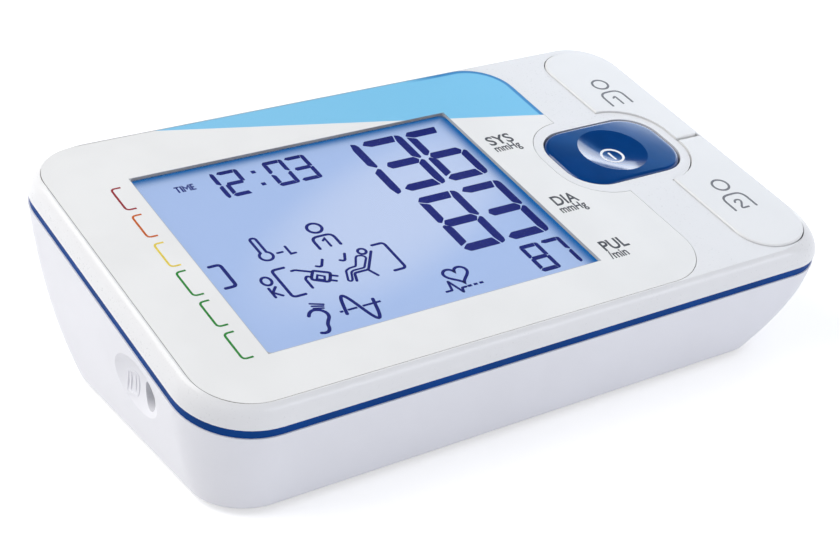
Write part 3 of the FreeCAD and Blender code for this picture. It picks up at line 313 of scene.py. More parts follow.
def arc(u: float, v: float, radius: float, start: float, end: float, steps: int) -> np.ndarray:
    """Points along an arc: radius times cosine across, radius times sine up.

    Args:
        u: Middle across.
        v: Middle up.
        radius: Radius of the arc.
        start: First angle in degrees.
        end: Last angle in degrees.
        steps: Number of points, both ends among them.

    Returns:
        Places of shape (steps, 2).
    """
    angle = np.radians(np.linspace(start, end, steps))
    return np.stack((u + radius * np.cos(angle), v + radius * np.sin(angle)), axis=1)


def circle(u: float, v: float, radius: float, ratio: float = 1.0, steps: int = 36) -> np.ndarray:
    """Points round an ellipse: radius times cosine across, radius times ratio times sine up.

    Args:
        u: Middle across.
        v: Middle up.
        radius: Half the width.
        ratio: Height over width.
        steps: Number of points.

    Returns:
        Places of shape (steps, 2).
    """
    angle = np.linspace(0, FULL_TURN, steps, endpoint=False)
    return np.stack((u + radius * np.cos(angle), v + radius * ratio * np.sin(angle)), axis=1)


@dataclass(frozen=True)
class Stroke:
    """A line drawn along a path with one width."""

    path: Outline
    width: float
    corner: float = 0.0
    closed: bool = False
    ends: Ends = Ends.ROUND
    end_steps: int = 5
    widest_bend: float = 0.5

    def stations(self) -> tuple[np.ndarray, np.ndarray]:
        """Centre points along the line, and half its width at each.

        A round end runs on by half the width h: its centre lies h cos(a) before the tip's
        neighbour and its half width is h sin(a), for a from 0 to a quarter turn.

        Returns:
            Centres of shape (n, 2) and half widths of shape (n,).
        """
        line = rounded_corners(self.path, self.corner, self.closed)
        half = self.width / 2
        if self.closed:
            return line, np.full(len(line), half)
        angle, reach = np.zeros(1), np.zeros(1)
        if self.ends is Ends.ROUND:
            angle = np.linspace(0, QUARTER_TURN, self.end_steps, endpoint=False)
            reach = half * np.cos(angle)
        first, last = line[0] - line[1], line[-1] - line[-2]
        first, last = first / np.linalg.norm(first), last / np.linalg.norm(last)
        head, tail = line[0] + first * reach[:, None], line[-1] + last * reach[::-1, None]
        taper = half * np.sin(angle)
        return (np.concatenate((head, line, tail)),
                np.concatenate((taper, np.full(len(line), half), taper[::-1])))

    def edges(self) -> np.ndarray:
        """Left and right edge of the line.

        Each is the centre plus or minus the half width along the normal, stretched at a bend so
        that the width holds.

        Returns:
            Places of shape (n, 2, 2).
        """
        centre, half = self.stations()
        if self.closed:
            step_in = centre - np.roll(centre, 1, axis=0)
            step_out = np.roll(centre, -1, axis=0) - centre
        else:
            step = np.diff(centre, axis=0)
            keep = np.linalg.norm(step, axis=1, keepdims=True)
            step = np.where(keep > TINY, step, np.roll(step, -1, axis=0))
            step[-1] = step[-1] if keep[-1] > TINY else step[-2]
            step_in = np.concatenate((step[:1], step))
            step_out = np.concatenate((step, step[-1:]))
        step_in = step_in / np.linalg.norm(step_in, axis=1, keepdims=True)
        step_out = step_out / np.linalg.norm(step_out, axis=1, keepdims=True)
        along = step_in + step_out
        along = along / np.linalg.norm(along, axis=1, keepdims=True)
        stretch = 1 / np.maximum((along * step_out).sum(axis=1), self.widest_bend)
        normal = np.stack((-along[:, 1], along[:, 0]), axis=1) * (half * stretch)[:, None]
        return np.stack((centre + normal, centre - normal), axis=1)


@dataclass
class Print:
    """Ink or relief on a surface: lines, filled shapes and letters as thin closed plates."""

    name: str
    surface: Surface
    thickness: float = 0.025
    depth: float = 0.0
    letter_steps: int = 6

    def __post_init__(self) -> None:
        """Start an empty sheet."""
        self.shell = Shell()

    def line(self, stroke: Stroke) -> None:
        """Carry a flat rectangle along a stroke.

        Its corners are the stroke's two edges at the print's top and at its foot.

        Args:
            stroke: The line to draw.
        """
        edges = self.surface(stroke.edges(), self.thickness)
        foot = self.surface(stroke.edges(), -self.depth)
        section = np.stack((edges[:, 0], edges[:, 1], foot[:, 1], foot[:, 0]), axis=1)
        self.shell.grid(section, wrap_rows=stroke.closed, wrap_columns=True)

    def fill(self, outline: Outline, corner: float = 0.0) -> None:
        """Fill a convex outline with rounded corners."""
        flat = rounded_corners(outline, corner, closed=True, steps=4)
        self.shell.plate(self.surface(flat, -self.depth), self.surface(flat, self.thickness))

    def words(self, text: str, u: float, baseline: float, size: float, width: float,
              weight: float) -> None:
        """Write a short word, stretched to a width.

        The letters are a font curve, 1 high and 1 thick, whose mesh is scaled to its place.

        Args:
            text: What is written.
            u: Left edge.
            baseline: Height of the foot of the letters.
            size: Letter size before the stretch.
            width: Width of the whole word.
            weight: How much each stroke swells, as a share of the size.
        """
        curve = bpy.data.curves.new("letters", "FONT")
        curve.body, curve.size, curve.offset, curve.extrude = text, 1.0, weight, 0.5
        curve.resolution_u = self.letter_steps
        holder = bpy.data.objects.new("letters", curve)
        bpy.context.scene.collection.objects.link(holder)
        graph = bpy.context.evaluated_depsgraph_get()
        mesh = bpy.data.meshes.new_from_object(holder.evaluated_get(graph))
        flat = np.empty(len(mesh.vertices) * 3)
        mesh.vertices.foreach_get("co", flat)
        flat = flat.reshape(-1, 3)
        faces = [list(face.vertices) for face in mesh.polygons]
        bpy.data.objects.remove(holder)
        bpy.data.curves.remove(curve)
        bpy.data.meshes.remove(mesh)
        low, high = flat[:, 0].min(), flat[:, 0].max()
        places = np.stack((u + (flat[:, 0] - low) / (high - low) * width,
                           baseline + flat[:, 1] * size), axis=1)
        self.shell.add(self.surface(places, (flat[:, 2] + 0.5) * self.thickness), faces)

    def piece(self, finish: "Finish", body: Body) -> bpy.types.Object:
        """Make the printed sheet one piece of the object."""
        return settle(self.shell.build(self.name), finish, body)


@dataclass(frozen=True)
class Mark:
    """Lines of a sign that are drawn alike."""

    width: float
    paths: tuple[Outline, ...]
    corner: float = 0.0
    closed: bool = False
    ends: Ends = Ends.ROUND

    def draw(self, sheet: Print) -> None:
        """Add the lines to a print."""
        for path in self.paths:
            sheet.line(Stroke(path, self.width, self.corner, self.closed, self.ends))


@dataclass(frozen=True)
class Person:
    """A user's sign: head ring over an open shoulder arch, with the user's number."""

    head: tuple[float, float]
    head_radius: float
    left: float
    right: float
    foot: float
    crown: float
    width: float
    corner: float
    number: Mark

    def draw(self, sheet: Print) -> None:
        """Add the sign to a print.

        Args:
            sheet: The print that takes it.
        """
        Mark(self.width, (circle(*self.head, self.head_radius),), closed=True).draw(sheet)
        arch = ((self.left, self.foot), (self.left, self.crown),
                (self.right, self.crown), (self.right, self.foot))
        Mark(self.width, (arch,), self.corner).draw(sheet)
        self.number.draw(sheet)


def settle(item: bpy.types.Object, finish: "Finish", body: Body) -> bpy.types.Object:
    """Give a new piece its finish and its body.

    Args:
        item: The new piece.
        finish: How it looks.
        body: The body it rides on.

    Returns:
        The same piece.
    """
    item.data.materials.clear()
    item.data.materials.append(finish.material())
    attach(item, body.value)
    LOG.info("%s: %d faces on %s", item.name, len(item.data.polygons), body.value)
    return item


# ---------------------------------------------------------------- shader maths


def linear(colour: Colour) -> tuple[float, float, float, float]:
    """Screen colour to the linear light that a shader takes.

    A share s of full light gives s / 12.92 up to 0.04045, and ((s + 0.055) / 1.055)^2.4 above.

    Args:
        colour: Red, green and blue in 0 to 255.

    Returns:
        Red, green, blue and an alpha of 1.
    """
    share = np.array(colour) / 255
    light = np.where(share <= 0.04045, share / 12.92, ((share + 0.055) / 1.055) ** 2.4)
    return (*(float(part) for part in light), 1.0)


def shade(colour: Colour, factor: float, lift: float = 0.0) -> Colour:
    """A screen colour times a factor plus a lift, white at most."""
    return tuple(min(255.0, part * factor + lift) for part in colour)


class Field:
    """A value that changes over a surface, with the usual arithmetic."""

    def __init__(self, sheet: "Sheet", socket: bpy.types.NodeSocket) -> None:
        """Wrap one output socket of a shader sheet."""
        self.sheet = sheet
        self.socket = socket

    def __add__(self, other: "Value") -> "Field":
        """Sum."""
        return self.sheet.math("ADD", self, other)

    def __sub__(self, other: "Value") -> "Field":
        """Difference."""
        return self.sheet.math("SUBTRACT", self, other)

    def __rsub__(self, other: "Value") -> "Field":
        """Difference from a plain number."""
        return self.sheet.math("SUBTRACT", other, self)

    def __mul__(self, other: "Value") -> "Field":
        """Product."""
        return self.sheet.math("MULTIPLY", self, other)

    def __truediv__(self, other: "Value") -> "Field":
        """Quotient."""
        return self.sheet.math("DIVIDE", self, other)

    def __rtruediv__(self, other: "Value") -> "Field":
        """A plain number divided by this."""
        return self.sheet.math("DIVIDE", other, self)

    def __pow__(self, other: "Value") -> "Field":
        """Power."""
        return self.sheet.math("POWER", self, other)

    def __abs__(self) -> "Field":
        """Size without sign."""
        return self.sheet.math("ABSOLUTE", self)

    __radd__ = __add__
    __rmul__ = __mul__

    def least(self, other: "Value") -> "Field":
        """The smaller of two values."""
        return self.sheet.math("MINIMUM", self, other)

    def most(self, other: "Value") -> "Field":
        """The larger of two values."""
        return self.sheet.math("MAXIMUM", self, other)

    def wave(self) -> "Field":
        """Sine of the value in radians."""
        return self.sheet.math("SINE", self)

    def repeat(self, period: float) -> "Field":
        """The value folded into 0 to period, again and again."""
        return self.sheet.math("WRAP", self, 0.0, period)

    def swing(self, spread: float) -> "Field":
        """A change about 0: the value less a half, times the spread."""
        return (self - 0.5) * spread

    def ramp(self, low: float, high: float) -> "Field":
        """Smooth step from 0 at low to 1 at high."""
        return self.sheet.field(
            "ShaderNodeMapRange", {"interpolation_type": "SMOOTHSTEP"},
            {"Value": self, "From Min": low, "From Max": high}, output="Result")


Value = Field | float


class Sheet:
    """The nodes of one material, or of the surroundings."""

    MIX_SHARE, MIX_FIRST, MIX_SECOND, MIX_RESULT = 0, 6, 7, 2

    def __init__(self, item: bpy.types.Material | bpy.types.World) -> None:
        """Start with no nodes at all."""
        item.use_nodes = True
        self.item, self.tree = item, item.node_tree
        self.tree.nodes.clear()

    def node(self, kind: str, settings: dict | None = None,
             inputs: dict | None = None) -> bpy.types.Node:
        """Add a node.

        Args:
            kind: Node type.
            settings: Properties of the node itself.
            inputs: Field, number or tuple for each input, by name or number.

        Returns:
            The new node.
        """
        made = self.tree.nodes.new(kind)
        for key, setting in (settings or {}).items():
            setattr(made, key, setting)
        for key, given in (inputs or {}).items():
            socket = made.inputs[key]
            if isinstance(given, Field):
                self.tree.links.new(given.socket, socket)
            else:
                socket.default_value = given
        return made

    def field(self, kind: str, settings: dict | None = None, inputs: dict | None = None,
              output: int | str = 0) -> Field:
        """Add a node, as node does, and take one of its outputs."""
        return Field(self, self.node(kind, settings, inputs).outputs[output])

    def math(self, operation: str, *values: Value) -> Field:
        """One step of arithmetic."""
        return self.field("ShaderNodeMath", {"operation": operation}, dict(enumerate(values)))

    def place(self) -> Field:
        """Place on the object, in millimetres."""
        source = self.field("ShaderNodeTexCoord", output="Object")
        return self.field("ShaderNodeVectorMath", {"operation": "SCALE"},
                          {0: source, "Scale": 1 / MM})

    def parts(self, vector: Field) -> tuple[Field, Field, Field]:
        """The three parts of a vector."""
        split = self.node("ShaderNodeSeparateXYZ", inputs={0: vector})
        return tuple(Field(self, output) for output in split.outputs)

    def deck(self) -> tuple[Field, Field]:
        """Deck coordinates u and v of the place on the object."""
        x, y, z = self.parts(self.place())
        return x, y * TILT_COS + (z - SEAM_HEIGHT) * TILT_SIN

    def level(self) -> Field:
        """Deck coordinate w of the place on the object."""
        _, y, z = self.parts(self.place())
        return (z - SEAM_HEIGHT) * TILT_COS - y * TILT_SIN

    def noise(self, size: float, detail: float = 2.0, stretch: Triple = (1, 1, 1)) -> Field:
        """Cloudy value around 0.5.

        Args:
            size: Size of its spots in millimetres.
            detail: How many finer layers are added.
            stretch: How many times longer the spots are along each axis.

        Returns:
            The noise.
        """
        spread = self.field("ShaderNodeMapping", inputs={
            "Vector": self.place(), "Scale": tuple(1 / (size * part) for part in stretch)})
        return self.field("ShaderNodeTexNoise", inputs={
            "Vector": spread, "Scale": 1.0, "Detail": detail})

    def mix(self, share: Value, first: "Field | Colour", second: "Field | Colour") -> Field:
        """Colour between two.

        Args:
            share: 0 gives the first, 1 the second.
            first: A screen colour or another mix.
            second: A screen colour or another mix.

        Returns:
            The mixed colour.
        """
        ends = [end if isinstance(end, Field) else linear(end) for end in (first, second)]
        return self.field(
            "ShaderNodeMix", {"data_type": "RGBA"},
            {self.MIX_SHARE: share, self.MIX_FIRST: ends[0], self.MIX_SECOND: ends[1]},
            output=self.MIX_RESULT)

    def bump(self, height: Field, depth: float) -> Field:
        """Surface relief: the height in 0 to 1 times a depth in millimetres."""
        return self.field("ShaderNodeBump", inputs={
            "Height": height, "Strength": 1.0, "Distance": depth * MM})

    def surface(self, shader: Field, end: str = "ShaderNodeOutputMaterial"
                ) -> bpy.types.Material | bpy.types.World:
        """Join a shader to the output and hand over the material."""
        self.node(end, inputs={"Surface": shader})
        return self.item

    def principled(self, **inputs: "Field | float | tuple") -> bpy.types.Material:
        """Finish the sheet with the general shader; words in a name are joined by _."""
        return self.surface(self.field("ShaderNodeBsdfPrincipled", inputs={
            key.replace("_", " "): given for key, given in inputs.items()}))


# ---------------------------------------------------------------- finishes


@dataclass(frozen=True)
class Finish:
    """A named look; each kind writes its own pattern on a shader sheet."""

    name: str

    def write(self, sheet: Sheet) -> bpy.types.Material:
        """Fill the sheet.

        Args:
            sheet: The empty sheet.

        Returns:
            The finished material.
        """
        raise NotImplementedError

    def material(self) -> bpy.types.Material:
        """The material of this finish, made once."""
        return (bpy.data.materials.get(self.name)
                or self.write(Sheet(bpy.data.materials.new(self.name))))


@dataclass(frozen=True)
class MouldedPlastic(Finish):
    """Injection-moulded plastic: faint clouds in the colour and a fine even grain."""

    colour: Colour
    roughness: float = 0.34
    grain: float = 0.35
    depth: float = 0.004
    cloud: float = 0.03
    coat: float = 0.0
    cloud_size: float = 22.0

    def write(self, sheet: Sheet) -> bpy.types.Material:
        """Two scales of noise: clouds for colour, grain-sized spots for gloss and relief.

        Args:
            sheet: The empty sheet.

        Returns:
            The finished material.
        """
        cloud, grain = sheet.noise(self.cloud_size, 3.0), sheet.noise(self.grain, 1.0)
        darker = shade(self.colour, 1 - self.cloud)
        return sheet.principled(
            Base_Color=sheet.mix(cloud.ramp(0.3, 0.7), darker, self.colour),
            Roughness=self.roughness + grain.swing(0.12) + cloud.swing(0.05),
            Normal=sheet.bump(grain, self.depth), Coat_Weight=self.coat, Coat_Roughness=0.08)


@dataclass(frozen=True)
class FacePlate(Finish):
    """Printed plate: white, a sky-blue field behind a slanting line, and grey window edges,
    with painted shade on the back wall and a painted shadow line round the window.
    """

    white: Colour = (243, 243, 242)
    pale_sky: Colour = (135, 205, 241)
    sky: Colour = (118, 200, 240)
    rim: Colour = (36, 138, 204)
    # colour of the painted shadow line round the window
    line: Colour = (134, 137, 146)
    side: Colour = (186, 183, 176)
    # painted shade on the window's back wall
    shaded_back_wall: Colour = (146, 140, 134)
    window: tuple[float, float, float, float] = (-62.45, 20.95, -34.3, 29.8)
    top: float = 6.0
    start: float = 32.5
    slope: float = -0.266
    half_width: float = 70.0
    right: float = 45.1
    back: float = 45.5
    corner: float = 11.0
    edge: float = 0.75
    rim_start: float = 18.0

    def write(self, sheet: Sheet) -> bpy.types.Material:
        """Field where v > start + slope u; rim where the distance to the rounded outline is small.

        That distance is corner - length of (how far the point is past the corner's centre). The
        window's walls lie below the top, the back one a darker grey of painted shade, and a fine
        dark line of painted shadow runs round the window where the distance outside its
        rectangle, the larger of |u - middle| - half width and |v - middle| - half depth, is
        small.

        Args:
            sheet: The empty sheet.

        Returns:
            The finished material.
        """
        u, v = sheet.deck()
        left, right, front, back = self.window
        beside = (abs(u - (left + right) / 2) - (right - left) / 2).most(
            abs(v - (front + back) / 2) - (back - front) / 2)
        # painted shadow: a fine dark line just outside the window's edge
        line = 1.0 - beside.ramp(0.06, 0.16)
        wall = 1.0 - sheet.level().ramp(self.top - 0.12, self.top - 0.03)
        field = (v - (self.start + self.slope * u)).ramp(-0.06, 0.06)
        past_u = (u - (self.right - self.corner)).most(0.0)
        past_v = (v - (self.back - self.corner)).most(0.0)
        near = self.corner - (past_u * past_u + past_v * past_v) ** 0.5
        rim = 1.0 - near.ramp(self.edge, self.edge + 0.5)
        cloud, grain = sheet.noise(18.0, 2.0), sheet.noise(0.3, 1.0)
        pale = sheet.mix((u / self.half_width + 0.5).ramp(0.0, 1.3), self.pale_sky, self.sky)
        blue = sheet.mix(rim * (u - self.rim_start).ramp(0.0, 12.0), pale, self.rim)
        white = sheet.mix(cloud.ramp(0.3, 0.7), shade(self.white, 1.0, -4.0), self.white)
        printed = sheet.mix(line * 0.7, sheet.mix(field, white, blue), self.line)
        # painted shade: the window's back wall a darker grey than its other walls
        sides = sheet.mix((v - (back - 0.5)).ramp(0.0, 0.4), self.side, self.shaded_back_wall)
        return sheet.principled(Base_Color=sheet.mix(wall, printed, sides),
                                Roughness=0.3 + grain.swing(0.1), Normal=sheet.bump(grain, 0.002))


@dataclass(frozen=True)
class LitDisplay(Finish):
    """Back-lit liquid-crystal panel: pale blue, with painted shade darkening its back and right
    edges and a painted reflection lightening a long oval.
    """

    body: Colour = (172, 195, 232)
    # painted reflection: the lighter colour of the oval
    light: Colour = (200, 214, 238)
    # painted shade: deep blue along the back and right edges, in the glow and in the base colour
    painted_shade_blue: Colour = (0, 102, 174)
    thread: Colour = (120, 140, 200)
    glass: Colour = (64, 80, 118)
    painted_shade_glass: Colour = (0, 40, 84)
    back: float = 31.3
    right: float = 22.1
    # how far in, and how steeply, the painted shade fades from the back and right edges
    back_shade_fade: float = 4.0
    right_shade_fade: float = 5.2
    shade_fade_power: float = 1.8
    # place, half axes and turn of the oval of painted reflection
    reflection_u: float = -12.0
    reflection_half: tuple[float, float] = (56.0, 22.0)
    reflection_turn: float = 25.0
    thread_step: float = 0.5
    glow: float = 0.8

    def write(self, sheet: Sheet) -> bpy.types.Material:
        """Painted reflection in a long lighter oval, painted shade in blue along two edges, over
        faint vertical electrode lines.

        The oval's measure is (a / p)^2 + (b / q)^2 with its half axes p and q, where a runs along
        its length and b across, both from its middle; it is turned up from the display's width.

        Args:
            sheet: The empty sheet.

        Returns:
            The finished material.
        """
        u, v = sheet.deck()
        turn = math.radians(self.reflection_turn)
        cos, sin = math.cos(turn), math.sin(turn)
        out = u - self.reflection_u
        along = (out * cos + v * sin) / self.reflection_half[0]
        across = (v * cos - out * sin) / self.reflection_half[1]
        # painted reflection: a lighter oval that stands in for a reflected lamp
        painted_reflection = 1.0 - (along * along + across * across).ramp(0.0, 1.0)
        # painted shade: 0 inside, 1 at the back and right edges
        edge = (v - (self.back - self.back_shade_fade)).ramp(0.0, self.back_shade_fade).most(
            (u - (self.right - self.right_shade_fade)).ramp(0.0, self.right_shade_fade))
        threads = (u * (FULL_TURN / self.thread_step)).wave() * 0.5 + 0.5
        grain = sheet.noise(0.8, 2.0)
        plain = sheet.mix(painted_reflection, self.body, self.light)
        woven = sheet.mix(threads * 0.05 + grain.swing(0.05), plain, self.thread)
        # the painted shade darkens both the base colour and the glow
        return sheet.principled(
            Base_Color=sheet.mix(edge, self.glass, self.painted_shade_glass),
            Emission_Color=sheet.mix(edge ** self.shade_fade_power, woven, self.painted_shade_blue),
            Emission_Strength=self.glow, Roughness=0.5 + grain.swing(0.1),
            Specular_IOR_Level=0.2)


@dataclass(frozen=True)
class ClearPane(Finish):
    """Thin clear plastic pane that mostly shows what lies under it."""

    clear: Colour = (205, 215, 235)
    hazy: Colour = (225, 232, 245)

    def write(self, sheet: Sheet) -> bpy.types.Material:
        """Nearly see-through gloss with the faintest haze.

        Args:
            sheet: The empty sheet.

        Returns:
            The finished material.
        """
        haze = sheet.noise(14.0, 2.0)
        return sheet.principled(Base_Color=sheet.mix(haze, self.clear, self.hazy),
                                Alpha=0.008 + haze * 0.01, Roughness=0.05 + haze * 0.04)


@dataclass(frozen=True)
class Ink(Finish):
    """Printed or shuttered ink: even colour with slight mottling."""

    colour: Colour
    roughness: float = 0.45
    specular: float = 0.3

    def write(self, sheet: Sheet) -> bpy.types.Material:
        """Spots of half a millimetre a little paler than the rest.

        Args:
            sheet: The empty sheet.

        Returns:
            The finished material.
        """
        spots = sheet.noise(0.5, 2.0)
        paler = shade(self.colour, 1.1, 4.0)
        return sheet.principled(Base_Color=sheet.mix(spots.ramp(0.35, 0.8), self.colour, paler),
                                Roughness=self.roughness + spots.swing(0.1),
                                Specular_IOR_Level=self.specular)


@dataclass(frozen=True)
class Lacquer(Finish):
    """Coloured gloss plastic under a clear lacquer."""

    colour: Colour
    roughness: float
    coat: float
    specular: float = 0.5

    def write(self, sheet: Sheet) -> bpy.types.Material:
        """Slow clouds in the colour and a faint ripple in the lacquer.

        Args:
            sheet: The empty sheet.

        Returns:
            The finished material.
        """
        cloud, ripple = sheet.noise(9.0, 2.0), sheet.noise(2.4, 1.0)
        darker = shade(self.colour, 0.92)
        return sheet.principled(
            Base_Color=sheet.mix(cloud.ramp(0.3, 0.7), darker, self.colour),
            Roughness=self.roughness + ripple.swing(0.04), Normal=sheet.bump(ripple, 0.001),
            Coat_Weight=self.coat, Coat_Roughness=0.09, Specular_IOR_Level=self.specular)


@dataclass(frozen=True)
class Rubber(Finish):
    """Rubber or silicone: dull, with fine dust-like mottling."""

    colour: Colour
    roughness: float

    def write(self, sheet: Sheet) -> bpy.types.Material:
        """Millimetre clouds in colour and gloss, and a soft grain.

        Args:
            sheet: The empty sheet.

        Returns:
            The finished material.
        """
        dust, grain = sheet.noise(1.4, 3.0), sheet.noise(0.25, 1.0)
        paler = shade(self.colour, 1.03, 6.0)
        return sheet.principled(
            Base_Color=sheet.mix(dust.ramp(0.35, 0.75), self.colour, paler),
            Roughness=self.roughness + dust.swing(0.15), Normal=sheet.bump(grain, 0.006))


@dataclass(frozen=True)
class Metal(Finish):
    """Drawn, ground or plated metal with marks along one direction."""

    colour: Colour
    roughness: float
    along: Triple

    def write(self, sheet: Sheet) -> bpy.types.Material:
        """Long thin streaks for gloss and relief, broad clouds for tarnish.

        Args:
            sheet: The empty sheet.

        Returns:
            The finished material.
        """
        streak, cloud = sheet.noise(0.3, 2.0, self.along), sheet.noise(4.0, 2.0)
        darker = shade(self.colour, 0.82)
        return sheet.principled(
            Base_Color=sheet.mix(cloud.ramp(0.3, 0.75), self.colour, darker), Metallic=1.0,
            Roughness=self.roughness + streak.swing(0.2), Normal=sheet.bump(streak, 0.003))


@dataclass(frozen=True)
class CircuitBoard(Finish):
    """Green solder mask with paler tracks under it and tinned pads."""

    mask: Colour = (18, 84, 48)
    track: Colour = (44, 128, 74)
    tin: Colour = (196, 196, 190)
    raster: float = 5.0

    def write(self, sheet: Sheet) -> bpy.types.Material:
        """Tracks follow the level lines of a noise; pads are dots on a square raster.

        Args:
            sheet: The empty sheet.

        Returns:
            The finished material.
        """
        u, v = sheet.deck()
        flow = sheet.noise(9.0, 1.0)
        tracks = 1.0 - abs((flow * 18.0).wave()).ramp(0.12, 0.3)
        du, dv = (part.repeat(self.raster) - self.raster / 2 for part in (u, v))
        pads = 1.0 - (du * du + dv * dv).ramp(0.35, 0.5)
        green = sheet.mix(tracks * 0.7, self.mask, self.track)
        return sheet.principled(
            Base_Color=sheet.mix(pads, green, self.tin), Metallic=pads * 0.8,
            Roughness=0.42 - pads * 0.12, Normal=sheet.bump(tracks, 0.02))


@dataclass(frozen=True)
class CellWrap(Finish):
    """AA cell: printed film round a can, bare metal at both ends."""

    film: Colour = (34, 40, 52)
    copper: Colour = (186, 116, 58)
    scuffed: Colour = (120, 124, 132)
    can: Colour = (202, 202, 206)
    front: float = -24.7
    length: float = 49.5

    def write(self, sheet: Sheet) -> bpy.types.Material:
        """Bands along Y: bare end, dark film, copper band past the middle, film, bare end.

        Args:
            sheet: The empty sheet.

        Returns:
            The finished material.
        """
        _, y, _ = sheet.parts(sheet.place())
        along = y - self.front
        film = along.ramp(1.6, 1.9) * (1.0 - along.ramp(self.length - 2.2, self.length - 1.9))
        copper = along.ramp(30.0, 30.2) * (1.0 - along.ramp(41.0, 41.2))
        scuff = sheet.noise(2.2, 3.0)
        wrap = sheet.mix(scuff * 0.2, sheet.mix(copper, self.film, self.copper), self.scuffed)
        return sheet.principled(Base_Color=sheet.mix(film, self.can, wrap),
                                Metallic=1.0 - film * 0.75, Roughness=0.28 + scuff * 0.12)


@dataclass(frozen=True)
class Windings(Finish):
    """Laminated rotor with copper wire in its slots."""

    steel: Colour = (150, 150, 154)
    copper: Colour = (184, 98, 48)
    centre: tuple[float, float] = (10.5, 15.0)
    slots: float = 5.0
    wire: float = 0.35

    def write(self, sheet: Sheet) -> bpy.types.Material:
        """Copper where the angle round the shaft falls in a slot, steel laminations elsewhere.

        Args:
            sheet: The empty sheet.

        Returns:
            The finished material.
        """
        x, y, z = sheet.parts(sheet.place())
        angle = sheet.math("ARCTAN2", z - self.centre[1], y - self.centre[0])
        slot = (angle * self.slots).wave().ramp(-0.15, 0.15)
        turns = (x * (FULL_TURN / self.wire)).wave() * 0.5 + 0.5
        return sheet.principled(
            Base_Color=sheet.mix(slot, self.steel, self.copper), Metallic=1.0,
            Roughness=0.3 + turns * 0.15, Normal=sheet.bump(turns, 0.05))


@dataclass(frozen=True)
class Paper(Finish):
    """Matt printed label with a thin grey frame and empty ruled lines."""

    dull: Colour = (224, 225, 228)
    bright: Colour = (240, 241, 243)
    rule: Colour = (120, 124, 130)
    left: float = 24.0
    right: float = 58.0
    front: float = -30.0
    back: float = -8.0
    step: float = 4.0

    def write(self, sheet: Sheet) -> bpy.types.Material:
        """Frame 1.2 mm inside the outline, evenly stepped rules inside it, on fibrous off-white.

        Args:
            sheet: The empty sheet.

        Returns:
            The finished material.
        """
        x, y, _ = sheet.parts(sheet.place())
        inside = (x - self.left).least(self.right - x).least(
            (y - self.front).least(self.back - y))
        border = 1.0 - abs(inside - 1.2).ramp(0.08, 0.18)
        off_rule = abs((y - self.front).repeat(self.step) - self.step / 2)
        rules = (1.0 - off_rule.ramp(0.05, 0.12)) * inside.ramp(2.2, 2.5)
        fibre = sheet.noise(0.5, 3.0, (3.0, 1.0, 1.0))
        paper = sheet.mix(fibre, self.dull, self.bright)
        return sheet.principled(
            Base_Color=sheet.mix(border.most(rules) * 0.7, paper, self.rule),
            Roughness=0.6 + fibre.swing(0.15))


WHITE_HOUSING = MouldedPlastic("white housing", (240, 240, 245), 0.36, 0.4, 0.0012, 0.015)
WHITE_COVER = MouldedPlastic("white cover", (240, 240, 241), 0.3, 0.5, 0.0006, 0.012, 0.1)
WHITE_KEYS = MouldedPlastic("white keys", (241, 241, 241), 0.32, 0.4, 0.0008, 0.012, 0.1)
SEAM_BLUE = Lacquer("seam blue", (0, 66, 142), 0.5, 0.0, 0.08)
BUTTON_BLUE = Lacquer("button blue", (0, 64, 133), 0.15, 0.4)
SEGMENT_INK = Ink("display segments", (14, 26, 112), 0.5, 0.02)
LEGEND_GREY = Ink("legend grey", (112, 114, 120))
LABEL_GREY = Ink("label grey", (72, 74, 80))
SYMBOL_WHITE = Ink("symbol white", (244, 246, 252), 0.4)
DOME_SILICONE = Rubber("dome silicone", (206, 206, 210), 0.55)
SCREW_STEEL = Metal("screw steel", (176, 178, 184), 0.32, (1.0, 1.0, 12.0))
CONTACT_NICKEL = Metal("contact nickel", (204, 200, 190), 0.26, (1.0, 1.0, 14.0))

